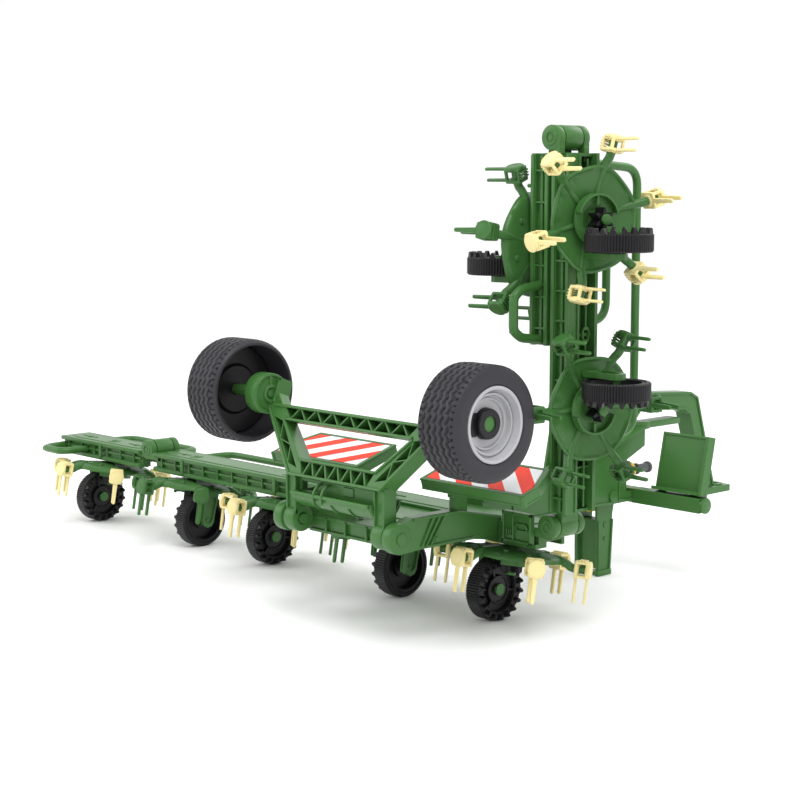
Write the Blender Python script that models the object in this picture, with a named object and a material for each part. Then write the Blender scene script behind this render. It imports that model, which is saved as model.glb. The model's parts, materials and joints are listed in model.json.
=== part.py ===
# Toy hay tedder: eight driven rotors on a folding frame, left wing down, right wing folded up.
# X is the machine's right, Y its front, Z up, and the ground is at z = 0.
# Sizes below are in millimetres and become metres when a mesh is made.

import math

import bmesh
import bpy
from mathutils import Matrix, Vector

MM = 0.001

# Layout
ROTOR_COUNT = 8
PITCH = 68.0
HINGE_Z = 41.0
INNER_HINGE_X = 57.0
OUTER_HINGE_X = 199.0
WING_TIP_X = 274.0

# Clearances
RUN = 0.3
SEAT = 0.3

# Main beams: a channel, open below, with a groove along its rear face
BEAM_BOTTOM = 31.8
BEAM_TOP = 40.0
BEAM_REAR = -4.0
BEAM_FRONT = 12.0
BEAM_WALL = 1.6
BEAM_SPINE = 2.0
BEAM_GROOVE = 1.8
BEAM_END_GAP = 5.5
BEAM_RIB = 1.2
BEAM_RIB_PITCH = 33.0

# Wing hinges
LUG_R = 4.5
LUG_W = 2.8
LUG_REACH = 9.0
HINGE_PIN_R = 1.6

# Rotor
POST_R = 1.2
POST_BOTTOM = 18.7
DISH_R = 19.2
DISH_RIM_Z = 25.6
DISH_SHOULDER_Z = 28.4
DISH_TOP_Z = 30.0
DISH_WALL = 1.3
DISH_SEGMENTS = 15
ARM_COUNT = 6
ARM_R = 1.6
ARM_SIDES = 5
ARM_DROP_R = 21.8
ARM_END_R = 29.4
ARM_Z = 24.7

# Tine holder and its two tines
FLANGE_R = 24.6
FLANGE_HALF = 3.3
CAP_R = 3.5
CAP_T = 1.1
CAP_SIDES = 8
TINE_W = 1.1
TINE_TIP_W = 0.7
TINE_TIP_Z = 11.7

# Rotor wheel with its crown of fingers, and the pinion that they drive
WHEEL_R = 12.4
WHEEL_W = 6.6
WHEEL_OFFSET = 7.9
FINGER_COUNT = 18
AXLE_Z = WHEEL_R * math.cos(math.pi / FINGER_COUNT)
# the rotors lean forward about their wheels' axles by half the pitch of the fingers
ROTOR_LEAN = math.pi / FINGER_COUNT
FINGER_L = 1.9
FINGER_TIP_W = 0.8
PINION_TEETH = 6
PINION_CORE_R = 1.95
PINION_TIP_R = 4.3
PINION_BOTTOM = 20.0
PINION_TOP = 24.6
AXLE_R = 1.3
CARRIER_Z = 25.3
CARRIER_T = 1.0
LEG_T = 2.2
LEG_HALF = 3.2
LEG_RIM = 0.9
LEG_RECESS = 0.9
POST_PAD = 3.2
PAD_DROP = 0.1

# Swing frame with the two transport wheels
SWING_Y = -55.0
SWING_Z = 40.0
SWING_PIN_R = 2.0
SWING_LUG_R = 5.0
SWING_LEG_X = 22.0
SWING_LEG_W = 5.6
TRUSS_BASE_Y = -56.0
TRUSS_BASE_Z = 56.0
TRUSS_TILT = math.radians(20)
TRUSS_DEPTH = 6.4
TRUSS_FLOOR = 1.3
TRUSS_RIB = 0.9
TRUSS_FLANGE = 0.9
BOTTOM_HALF_W = 26.0
BOTTOM_H = 6.6
TOP_BEAM_T0 = 20.5
TOP_BEAM_H = 5.6
ARM_TOP_X = 50.0
ARM_W = 5.0
AXLE_T = 29.5
AXLE_BACK = 4.6
BOSS_R = 8.0
BIG_AXLE_R = 2.2
BIG_WHEEL_X = 66.0
BIG_WHEEL_R = 20.5
BIG_WHEEL_W = 18.5
BIG_WALL = 2.4
BIG_SEGMENTS = 26
RIM_R = 13.4

# Rear arms of the centre frame
REAR_ARM_X = 28.6
REAR_ARM_W = 4.4
ARM_ARCH = 3.2

# Warning boards
BOARD_X0 = 18.0
BOARD_LENGTH = 52.0
BOARD_DEPTH = 22.0
BOARD_REAR_Y = -30.0
BOARD_REAR_Z = 53.5
BOARD_TILT = math.radians(17.4)
TRAY_H = 4.4
CORNER_X = 6.4
CORNER_Y = 13.4
TRAY_RIM = 1.3
BOARD_T = 1.2

# Drawbar, stand and drive shaft
DRAWBAR_HALF = 8.0
DRAWBAR_WALL = 1.4
GOOSE_HALF = 3.5
BAR_HALF = 44.0
BAR_REAR_Y = 105.0
BAR_FRONT_Y = 110.5
BAR_BOTTOM = 30.0
BAR_TOP = 36.0
PANEL_X0 = 18.0
PANEL_W = 26.0
PANEL_H = 25.0
PANEL_T = 1.4
PANEL_FLANGE = 3.4
PANEL_TILT = math.radians(12)
PANEL_Z = BAR_TOP + SEAT + PANEL_T * math.sin(PANEL_TILT)
STAND_Y = 92.0
STAND_Z = 34.0
STAND_PIN_R = 1.3
STAND_PLATE_T = 1.2
SHAFT_R = 1.9
BELL_R = 5.6

# Guard tubes
GUARD_R = 1.6
GUARD_Z = 35.5

GREEN = ("green", (0.030, 0.190, 0.045, 1.0), 0.42)
CREAM = ("cream", (0.900, 0.740, 0.360, 1.0), 0.45)
YELLOW = ("yellow", (1.000, 0.620, 0.000, 1.0), 0.40)
BLACK = ("black", (0.013, 0.012, 0.014, 1.0), 0.55)
TYRE = ("tyre", (0.040, 0.038, 0.044, 1.0), 0.60)
SILVER = ("silver", (0.480, 0.480, 0.500, 1.0), 0.35)
GREY = ("grey", (0.210, 0.220, 0.230, 1.0), 0.50)
WHITE = ("white", (0.800, 0.800, 0.820, 1.0), 0.45)


def clear_scene():
    for item in list(bpy.data.objects):
        bpy.data.objects.remove(item, do_unlink=True)


def material(look):
    name, colour, roughness = look
    found = bpy.data.materials.get(name)
    if found:
        return found
    made = bpy.data.materials.new(name)
    made.use_nodes = True
    shader = made.node_tree.nodes["Principled BSDF"]
    shader.inputs["Base Color"].default_value = colour
    shader.inputs["Roughness"].default_value = roughness
    shader.inputs["Metallic"].default_value = 0.0
    made.diffuse_color = colour
    return made


# Shapes: each function gives a closed bmesh with its faces pointing out

def closed(verts, faces):
    shape = bmesh.new()
    made = [shape.verts.new(v) for v in verts]
    for face in faces:
        shape.faces.new([made[i] for i in face])
    bmesh.ops.recalc_face_normals(shape, faces=shape.faces)
    return shape


def lift(point, axis, height):
    """A point of an outline, set at a height along the axis it is extruded on."""
    a, b = point
    if axis == "x":
        return (height, a, b)
    if axis == "y":
        return (a, height, b)
    return (a, b, height)


def prism(outline, axis, low, high):
    count = len(outline)
    verts = [lift(p, axis, low) for p in outline] + [lift(p, axis, high) for p in outline]
    faces = [tuple(range(count)), tuple(range(count, 2 * count))]
    for i in range(count):
        j = (i + 1) % count
        faces.append((i, j, count + j, count + i))
    return closed(verts, faces)


def box(x0, x1, y0, y1, z0, z1):
    return prism([(x0, y0), (x1, y0), (x1, y1), (x0, y1)], "z", z0, z1)


def rod(axis, centre, radius, low, high, sides=10):
    turn = math.pi / sides
    outline = []
    for i in range(sides):
        angle = 2 * math.pi * i / sides + turn
        outline.append((centre[0] + radius * math.cos(angle), centre[1] + radius * math.sin(angle)))
    return prism(outline, axis, low, high)


def arc(centre, radius, start, end, steps):
    """Points on an arc, its angles in degrees."""
    points = []
    for i in range(steps + 1):
        angle = math.radians(start + (end - start) * i / steps)
        points.append((centre[0] + radius * math.cos(angle), centre[1] + radius * math.sin(angle)))
    return points


def turned(profile, segments, axis):
    """A ring turned from a closed profile of (radius, place along the axis)."""
    verts = []
    faces = []
    count = len(profile)
    for s in range(segments):
        angle = 2 * math.pi * (s + 0.5) / segments
        c, n = math.cos(angle), math.sin(angle)
        for radius, place in profile:
            if axis == "z":
                verts.append((radius * c, radius * n, place))
            elif axis == "x":
                verts.append((place, radius * c, radius * n))
            else:
                verts.append((radius * n, place, radius * c))
    for s in range(segments):
        t = (s + 1) % segments
        for i in range(count):
            j = (i + 1) % count
            faces.append((s * count + i, s * count + j, t * count + j, t * count + i))
    return closed(verts, faces)


def tube(path, radius, sides=8):
    points = [Vector(p) for p in path]
    verts = []
    faces = []
    last_side = None
    for i, point in enumerate(points):
        before = (points[i] - points[i - 1]).normalized() if i > 0 else None
        after = (points[i + 1] - points[i]).normalized() if i < len(points) - 1 else None
        along = (before + after).normalized() if before and after else (after or before)
        stretch = 1.0 / max(0.5, along.dot(after or before))
        if last_side is None:
            start = Vector((0, 0, 1)) if abs(along.z) < 0.9 else Vector((0, 1, 0))
            side = along.cross(start).normalized()
        else:
            side = (last_side - along * last_side.dot(along)).normalized()
        last_side = side
        other = along.cross(side)
        bend = (after - before) if before and after else None
        for s in range(sides):
            angle = 2 * math.pi * (s + 0.5) / sides
            offset = side * math.cos(angle) * radius + other * math.sin(angle) * radius
            if bend and bend.length > 0.001:
                out = bend.normalized()
                offset += out * offset.dot(out) * (stretch - 1.0)
            verts.append(point + offset)
    rings = len(points)
    for i in range(rings - 1):
        for s in range(sides):
            t = (s + 1) % sides
            faces.append((i * sides + s, i * sides + t, (i + 1) * sides + t, (i + 1) * sides + s))
    faces.append(tuple(range(sides)))
    faces.append(tuple(range((rings - 1) * sides, rings * sides)))
    return closed(verts, faces)


def moved(shape, matrix):
    bmesh.ops.transform(shape, matrix=matrix, verts=shape.verts)
    if matrix.determinant() < 0:
        bmesh.ops.reverse_faces(shape, faces=shape.faces)
    return shape


def copied(shape, matrix):
    return moved(shape.copy(), matrix)


def together(shapes):
    """One bmesh of solids that don't touch."""
    whole = bmesh.new()
    for shape in shapes:
        part = bpy.data.meshes.new("part")
        shape.to_mesh(part)
        whole.from_mesh(part)
        bpy.data.meshes.remove(part)
    return whole


def scratch_object(shape):
    mesh = bpy.data.meshes.new("scratch")
    shape.to_mesh(mesh)
    item = bpy.data.objects.new("scratch", mesh)
    bpy.context.scene.collection.objects.link(item)
    return item


def joined(base, others, operation="UNION"):
    """The base with the other shapes added to it, or cut from it, one after the other."""
    target = scratch_object(base)
    tools = [scratch_object(shape) for shape in others]
    for tool in tools:
        step = target.modifiers.new("step", "BOOLEAN")
        step.operation = operation
        step.solver = "EXACT"
        step.object = tool
    graph = bpy.context.evaluated_depsgraph_get()
    mesh = bpy.data.meshes.new_from_object(target.evaluated_get(graph))
    result = bmesh.new()
    result.from_mesh(mesh)
    bmesh.ops.dissolve_limit(result, angle_limit=0.002, verts=result.verts, edges=result.edges)
    for item in [target] + tools:
        old = item.data
        bpy.data.objects.remove(item, do_unlink=True)
        bpy.data.meshes.remove(old)
    bpy.data.meshes.remove(mesh)
    return result


def cut(base, cutters):
    return joined(base, cutters, "DIFFERENCE")


def mesh_of(shape, name, look, origin=(0, 0, 0)):
    moved(shape, Matrix.Translation(-Vector(origin)))
    moved(shape, Matrix.Scale(MM, 4))
    mesh = bpy.data.meshes.new(name)
    shape.to_mesh(mesh)
    mesh.materials.append(material(look))
    mesh.shade_smooth()
    mesh.set_sharp_from_angle(angle=math.radians(35))
    return mesh


def place(name, mesh, matrix=None, origin=(0, 0, 0)):
    """An object whose own origin is a point of the machine, given in millimetres."""
    item = bpy.data.objects.new(name, mesh)
    bpy.context.scene.collection.objects.link(item)
    at = Matrix.Translation(Vector(origin))
    whole = (matrix @ at) if matrix else at
    turn = whole.to_quaternion().to_matrix().to_4x4()
    item.matrix_world = Matrix.Translation(whole.to_translation() * MM) @ turn
    return item


# Poses of the four wings as the machine stands

def hinge_turn(x, degrees):
    at = Matrix.Translation(Vector((x, 0, HINGE_Z)))
    return at @ Matrix.Rotation(math.radians(degrees), 4, "Y") @ at.inverted()


RIGHT_INNER_POSE = hinge_turn(INNER_HINGE_X, -90)
RIGHT_OUTER_POSE = RIGHT_INNER_POSE @ hinge_turn(OUTER_HINGE_X, -180)
SECTION_POSES = {
    "left_outer": Matrix(),
    "left_inner": Matrix(),
    "centre": Matrix(),
    "right_inner": RIGHT_INNER_POSE,
    "right_outer": RIGHT_OUTER_POSE,
}
# rotor number: the section that carries it
ROTOR_SECTIONS = {
    1: "left_outer", 2: "left_inner", 3: "left_inner", 4: "centre",
    5: "centre", 6: "right_inner", 7: "right_inner", 8: "right_outer",
}
# rotor number: how far it has turned, in degrees
ROTOR_TURNS = {1: 0, 2: 0, 3: 0, 4: 0, 5: 0, 6: 0, 7: -15, 8: -12}


def rotor_x(number):
    return (number - (ROTOR_COUNT + 1) / 2) * PITCH


def wheel_side(number):
    """-1 where the wheel stands left of its rotor's axis, 1 where it stands right."""
    return -1 if number % 2 else 1


MIRROR_X = Matrix.Scale(-1, 4, Vector((1, 0, 0)))
AXLE_LINE = Matrix.Translation(Vector((0, 0, AXLE_Z)))
LEAN = AXLE_LINE @ Matrix.Rotation(-ROTOR_LEAN, 4, "X") @ AXLE_LINE.inverted()


# Rotors

def holder_shapes():
    """A tine holder on an arm along +X: a cage plate that ends in two tines, and an end cap."""
    low = ARM_Z - FLANGE_HALF
    high = ARM_Z + FLANGE_HALF
    inner = FLANGE_R
    outer = ARM_END_R + CAP_T / 2
    narrow = (TINE_W - TINE_TIP_W) / 2
    cage = [
        (inner, high), (outer, high), (outer, low), (outer - narrow, TINE_TIP_Z),
        (outer - TINE_W + narrow, TINE_TIP_Z), (outer - TINE_W, low), (inner + TINE_W, low),
        (inner + TINE_W - narrow, TINE_TIP_Z), (inner + narrow, TINE_TIP_Z), (inner, low),
    ]
    plate = prism(cage, "y", -TINE_W / 2, TINE_W / 2)
    cap = rod("x", (0, ARM_Z), CAP_R, ARM_END_R, ARM_END_R + CAP_T, CAP_SIDES)
    return [plate, cap]


def arm_turn(index):
    return Matrix.Rotation(2 * math.pi * (index + 0.5) / ARM_COUNT, 4, "Z")


def dish_shape():
    bore = POST_R + RUN
    inner_shoulder = DISH_SHOULDER_Z - DISH_WALL + 0.1
    profile = [
        (bore, DISH_TOP_Z),
        (5.4, DISH_TOP_Z),
        (DISH_R - 0.8, DISH_SHOULDER_Z),
        (DISH_R, DISH_RIM_Z),
        (DISH_R - 1.0, DISH_RIM_Z),
        (DISH_R - 2.0, inner_shoulder),
        (4.6, DISH_TOP_Z - 1.9),
        (3.6, CARRIER_Z + CARRIER_T + RUN),
        (bore, CARRIER_Z + CARRIER_T + RUN),
    ]
    return turned(profile, DISH_SEGMENTS, "z")


def arm_shape():
    root = DISH_R - 0.8
    path = [
        (root, 0, DISH_RIM_Z + ARM_R),
        (DISH_R + 1.6, 0, DISH_RIM_Z + 0.6),
        (ARM_DROP_R + 0.8, 0, ARM_Z),
        (ARM_END_R + CAP_T / 2, 0, ARM_Z),
    ]
    return tube(path, ARM_R, ARM_SIDES)


def rotor_shape():
    """Dish, arms and tine holders in one solid, as each holder grips its arm."""
    arm = joined(arm_shape(), holder_shapes())
    arms = together([copied(arm, arm_turn(i)) for i in range(ARM_COUNT)])
    return joined(dish_shape(), [arms])


def paint_holders(mesh, look):
    """Gives the holders and tines their own colour; the arms inside them stay green."""
    mesh.materials.append(material(look))
    for face in mesh.polygons:
        x, y, z = face.center / MM
        turn = round(math.atan2(y, x) / (2 * math.pi / ARM_COUNT) - 0.5) + 0.5
        angle = turn * 2 * math.pi / ARM_COUNT
        along = x * math.cos(angle) + y * math.sin(angle)
        across = y * math.cos(angle) - x * math.sin(angle)
        if along > FLANGE_R - 0.1 and math.hypot(across, z - ARM_Z) > ARM_R + 0.05:
            face.material_index = 1


def pinion_shape():
    outline = []
    step = 2 * math.pi / PINION_TEETH
    for i in range(PINION_TEETH):
        middle = i * step
        for radius, spread in ((PINION_CORE_R, -0.5), (PINION_TIP_R, -0.08), (PINION_TIP_R, 0.08)):
            angle = middle + spread * step
            outline.append((radius * math.cos(angle), radius * math.sin(angle)))
    gear = prism(outline, "z", PINION_BOTTOM, PINION_TOP)
    bore = rod("z", (0, 0), POST_R + RUN, PINION_BOTTOM - 1, PINION_TOP + 1, 6)
    return cut(gear, [bore])


# Rotor wheels: the axle lies along X and the fingers point to +X

def wheel_shape():
    half = WHEEL_W / 2
    bore = AXLE_R + RUN
    profile = [
        (WHEEL_R - 3.2, half),
        (WHEEL_R, half),
        (WHEEL_R, -half),
        (WHEEL_R - 3.0, -half),
        (WHEEL_R - 4.2, 0.4),
        (bore, 0.4),
        (bore, half - 0.9),
        (3.8, half - 0.9),
    ]
    shape = turned(profile, FINGER_COUNT, "x")
    shape.faces.ensure_lookup_table()
    ends = [f for f in shape.faces if f.normal.x > 0.99 and f.calc_center_median().x > half - 0.01]
    bmesh.ops.inset_individual(shape, faces=ends, thickness=0.7)
    for face in ends:
        extruded = bmesh.ops.extrude_discrete_faces(shape, faces=[face])["faces"][0]
        centre = extruded.calc_center_median()
        out = Vector((0, centre.y, centre.z)).normalized()
        side = out.cross(Vector((1, 0, 0)))
        for vert in extruded.verts:
            away = vert.co - centre
            across = away.dot(side)
            vert.co += side * (math.copysign(FINGER_TIP_W / 2, across) - across)
            vert.co.x = half + FINGER_L
    # a flat side down, so that a gap between two fingers lies where the leaning pinion has a tooth
    return moved(shape, Matrix.Rotation(math.pi / FINGER_COUNT, 4, "X"))


def support_shape():
    """What holds a rotor with its wheel to the left: post, carrier, leg, axle and hub cap."""
    post = rod("z", (0, 0), POST_R, POST_BOTTOM, BEAM_BOTTOM + 3.0, 6)
    top = CARRIER_Z + CARRIER_T
    outer = WHEEL_OFFSET + WHEEL_W / 2 + 0.6
    leg_outline = [(LEG_HALF + 0.9, top), (LEG_HALF, AXLE_Z + 3)]
    leg_outline += [(y, z) for y, z in arc((0, AXLE_Z), LEG_HALF, 0, -180, 4)]
    leg_outline += [(-LEG_HALF, AXLE_Z + 3), (-LEG_HALF - 0.9, top)]
    leg = prism(leg_outline, "x", -outer - LEG_T, -outer)
    face = [(LEG_HALF - LEG_RIM + 0.6, top - 3.0)] + [
        (y, z) for y, z in arc((0, AXLE_Z + 1.0), LEG_HALF - LEG_RIM, 0, -180, 3)
    ] + [(LEG_RIM - LEG_HALF - 0.6, top - 3.0)]
    leg = cut(leg, [prism(face, "x", -outer - LEG_T - 1, -outer - LEG_T + LEG_RECESS)])
    bar = box(-outer - LEG_T + 0.2, 3.0, -LEG_HALF, LEG_HALF, CARRIER_Z, top - 0.05)
    disc = rod("z", (0, 0), 6.0, CARRIER_Z + 0.05, top - 0.1, 8)
    hub_x = -WHEEL_OFFSET + WHEEL_W / 2 - 0.9 + RUN
    axle = rod("x", (0, AXLE_Z), AXLE_R, -outer - LEG_T + 0.5, hub_x + 0.5, 6)
    cap = rod("x", (0, AXLE_Z), 2.4, hub_x, hub_x + 1.1, 8)
    pad = box(-POST_PAD, POST_PAD, BEAM_REAR + 1, BEAM_FRONT - 1, BEAM_BOTTOM - PAD_DROP, BEAM_BOTTOM + 1.6)
    return joined(moved(joined(leg, [bar, disc, post, axle, cap]), LEAN), [pad])


# Beams

def beam_outline():
    lip = 1.8
    return [
        (BEAM_REAR, BEAM_TOP),
        (BEAM_FRONT, BEAM_TOP),
        (BEAM_FRONT, BEAM_BOTTOM),
        (BEAM_FRONT - BEAM_WALL, BEAM_BOTTOM),
        (BEAM_FRONT - BEAM_WALL, BEAM_TOP - BEAM_WALL),
        (BEAM_SPINE, BEAM_TOP - BEAM_WALL),
        (BEAM_SPINE, BEAM_BOTTOM),
        (BEAM_REAR, BEAM_BOTTOM),
        (BEAM_REAR, BEAM_BOTTOM + lip),
        (BEAM_REAR + BEAM_GROOVE, BEAM_BOTTOM + lip),
        (BEAM_REAR + BEAM_GROOVE, BEAM_TOP - lip),
        (BEAM_REAR, BEAM_TOP - lip),
    ]


def beam_shape(x0, x1):
    shape = prism(beam_outline(), "x", x0, x1)
    count = max(2, round((x1 - x0) / BEAM_RIB_PITCH) + 1)
    ribs = []
    for i in range(count):
        x = x0 + (x1 - x0 - BEAM_RIB) * i / (count - 1)
        inset = 0.05 if i in (0, count - 1) else 0.0
        ribs.append(box(x + inset, x + BEAM_RIB - inset, BEAM_SPINE - 0.5, BEAM_FRONT - 0.5,
                        BEAM_BOTTOM + 2.0, BEAM_TOP - 0.5))
    return joined(shape, [together(ribs)])


def lug_shape(hinge_x, toward, y0, y1, bore):
    """A hinge lug: a disc on the hinge axis and a foot that runs toward its beam."""
    disc = rod("y", (hinge_x, HINGE_Z), LUG_R, y0, y1, 8)
    ends = sorted((hinge_x, hinge_x + toward * LUG_REACH))
    foot = box(ends[0], ends[1], y0 + 0.02, y1 - 0.02, HINGE_Z - LUG_R + 0.3, BEAM_TOP - 0.3)
    lug = joined(disc, [foot])
    if bore:
        hole = rod("y", (hinge_x, HINGE_Z), HINGE_PIN_R + RUN, y0 - 1, y1 + 1, 8)
        lug = cut(lug, [hole])
    return lug


def outer_lugs(hinge_x, toward):
    """The two lugs at the beam's edges, with the hinge pin between them."""
    rear = lug_shape(hinge_x, toward, BEAM_REAR, BEAM_REAR + LUG_W, False)
    front = lug_shape(hinge_x, toward, BEAM_FRONT - LUG_W, BEAM_FRONT, False)
    pin = rod("y", (hinge_x, HINGE_Z), HINGE_PIN_R, BEAM_REAR + 1, BEAM_FRONT - 1, 8)
    return [rear, front, pin]


def middle_lug(hinge_x, toward):
    gap = 2 * RUN
    return [lug_shape(hinge_x, toward, BEAM_REAR + LUG_W + gap, BEAM_FRONT - LUG_W - gap, True)]


def beam_with(x0, x1, rotors, lugs, extras=()):
    pieces = list(lugs) + list(extras)
    for number in rotors:
        support = support_shape()
        if wheel_side(number) > 0:
            support = moved(support, MIRROR_X)
        pieces.append(moved(support, Matrix.Translation(Vector((rotor_x(number), 0, 0)))))
    return joined(beam_shape(x0, x1), pieces)


def make_wings():
    inner0 = INNER_HINGE_X + BEAM_END_GAP
    inner1 = OUTER_HINGE_X - BEAM_END_GAP
    outer0 = OUTER_HINGE_X + BEAM_END_GAP
    # side: name, sign of X, inner rotors, outer rotor
    for side, sign, inner_rotors, outer_rotor in (("left", -1, (2, 3), 1), ("right", 1, (6, 7), 8)):
        low, high = sorted((sign * inner0, sign * inner1))
        lugs = middle_lug(sign * INNER_HINGE_X, sign) + outer_lugs(sign * OUTER_HINGE_X, -sign)
        shape = beam_with(low, high, inner_rotors, lugs)
        pivot = (sign * INNER_HINGE_X, 0, HINGE_Z)
        mesh = mesh_of(shape, side + "_inner_beam", GREEN, pivot)
        place(side + "_inner_beam", mesh, SECTION_POSES[side + "_inner"], pivot)

        low, high = sorted((sign * outer0, sign * WING_TIP_X))
        handle = tube(loop_path(sign * 252, sign * 272, BEAM_REAR + 3, -17, 4), GUARD_R, 6)
        lugs = middle_lug(sign * OUTER_HINGE_X, sign)
        shape = beam_with(low, high, (outer_rotor,), lugs, [handle])
        pivot = (sign * OUTER_HINGE_X, 0, HINGE_Z)
        mesh = mesh_of(shape, side + "_outer_beam", GREEN, pivot)
        place(side + "_outer_beam", mesh, SECTION_POSES[side + "_outer"], pivot)


def loop_path(x0, x1, face_y, out_y, corner):
    """A tube's route from a beam's face out to a line parallel to it, and back."""
    turn = math.copysign(corner, out_y - face_y)
    step = math.copysign(corner, x1 - x0)
    return [
        (x0, face_y, GUARD_Z),
        (x0 + 0.3 * step, out_y - turn, GUARD_Z),
        (x0 + step, out_y, GUARD_Z),
        (x1 - step, out_y, GUARD_Z),
        (x1 - 0.3 * step, out_y - turn, GUARD_Z),
        (x1, face_y, GUARD_Z),
    ]


def make_guards():
    front = BEAM_FRONT + SEAT
    for side, sign in (("left", -1), ("right", 1)):
        inner = tube(loop_path(sign * 88, sign * 190, front, 38, 5), GUARD_R, 6)
        pivot = (sign * INNER_HINGE_X, 0, HINGE_Z)
        place(side + "_inner_guard", mesh_of(inner, side + "_inner_guard", GREEN, pivot),
              SECTION_POSES[side + "_inner"], pivot)
        outer = tube(loop_path(sign * 208, sign * 268, front, 34, 5), GUARD_R, 6)
        pivot = (sign * OUTER_HINGE_X, 0, HINGE_Z)
        place(side + "_outer_guard", mesh_of(outer, side + "_outer_guard", GREEN, pivot),
              SECTION_POSES[side + "_outer"], pivot)


# Centre frame

def rear_arm_shape(sign):
    low, high = sorted((sign * REAR_ARM_X, sign * (REAR_ARM_X + REAR_ARM_W)))
    outline = [(BEAM_REAR + 1, BEAM_BOTTOM + 0.6), (BEAM_REAR + 1, BEAM_TOP + 2)]
    outline += [(-26, BEAM_TOP + 7), (SWING_Y + 6, BEAM_TOP + 7)]
    outline += arc((SWING_Y, SWING_Z), SWING_LUG_R + 0.6, 80, 280, 7)
    outline += [(SWING_Y + 12, BEAM_BOTTOM + ARM_ARCH), (BEAM_REAR - 14, BEAM_BOTTOM + ARM_ARCH)]
    plate = prism(outline, "x", low, high)
    pin_ends = sorted((sign * (SWING_LEG_X - 1), sign * (REAR_ARM_X + 1)))
    pin = rod("x", (SWING_Y, SWING_Z), SWING_PIN_R, pin_ends[0], pin_ends[1], 10)
    return joined(plate, [pin])


def make_centre():
    half = INNER_HINGE_X - BEAM_END_GAP
    lugs = outer_lugs(-INNER_HINGE_X, 1) + outer_lugs(INNER_HINGE_X, -1)
    rear_bar_y = SWING_Y + 8.5
    deck_z = BEAM_TOP - 1.5
    inside_beam = BEAM_REAR + 1.0
    extras = [
        rear_arm_shape(-1),
        rear_arm_shape(1),
        box(-REAR_ARM_X - 1, REAR_ARM_X + 1, rear_bar_y, rear_bar_y + 3, BEAM_BOTTOM + 2, BEAM_TOP),
        box(-9, 9, rear_bar_y + 1, inside_beam, BEAM_BOTTOM + 3, deck_z),
        box(-REAR_ARM_X - 1, REAR_ARM_X + 1, -24, inside_beam, deck_z - 1.4, deck_z + 0.4),
    ]
    for sign in (-1, 1):
        low, high = sorted((sign * (REAR_ARM_X + 0.5), sign * (REAR_ARM_X + REAR_ARM_W - 0.5)))
        extras.append(box(low, high, -27, -21, BEAM_TOP + 5, BOARD_REAR_Z + 0.6))
    shape = beam_with(-half, half, (4, 5), lugs, extras)
    place("centre_frame", mesh_of(shape, "centre_frame", GREEN))


def board_matrix(sign):
    """Local X along the board from its inner end, Y up its slope, Z out of its face."""
    corner = Matrix.Translation(Vector((BOARD_X0, BOARD_REAR_Y, BOARD_REAR_Z)))
    whole = corner @ Matrix.Rotation(BOARD_TILT, 4, "X")
    return whole if sign > 0 else MIRROR_X @ whole


def board_outline(inset):
    """The board's outline, its outer front corner cut off to clear the folded wing's rotor."""
    low, end, deep = inset, BOARD_LENGTH - inset, BOARD_DEPTH - inset
    return [(low, low), (end, low), (end, deep - CORNER_Y), (end - CORNER_X, deep), (low, deep)]


def make_boards():
    for side, sign in (("left", -1), ("right", 1)):
        rim = TRAY_RIM
        floor = TRAY_H - BOARD_T - SEAT
        pocket = prism(board_outline(rim), "z", floor, TRAY_H + 1)
        tray = moved(cut(prism(board_outline(0), "z", 0, TRAY_H), [pocket]), board_matrix(sign))
        place(side + "_board_tray", mesh_of(tray, side + "_board_tray", GREEN))
        edge = rim + SEAT
        board = moved(prism(board_outline(edge), "z", floor + SEAT, TRAY_H), board_matrix(sign))
        place(side + "_warning_board", mesh_of(board, side + "_warning_board", WHITE))


# Swing frame: its truss is drawn flat, X across and Z up the slope, then tilted

def truss_matrix():
    at = Matrix.Translation(Vector((0, TRUSS_BASE_Y, TRUSS_BASE_Z)))
    return at @ Matrix.Rotation(-TRUSS_TILT, 4, "X")


def zigzag_pockets(start, end, height, count, depth):
    """Triangular pockets between the ribs of a lattice girder, cut from its rear face."""
    start, end = Vector(start), Vector(end)
    along = (end - start).normalized()
    up = Vector((-along.y, along.x))
    step = (end - start).length / count
    pockets = []
    edge = TRUSS_FLANGE
    rib = TRUSS_RIB
    for i in range(count):
        middle = start + along * step * (i + 0.5)
        base, tip = (edge, height - edge) if i % 2 else (height - edge, edge)
        wide = step - rib * 1.2
        outline = []
        for a, b in ((-wide, base), (wide, base), (0.25, tip), (-0.25, tip)):
            point = middle + along * a + up * b
            outline.append((point.x, point.y))
        pockets.append(prism(outline, "y", -TRUSS_DEPTH, depth))
    return pockets


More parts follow.
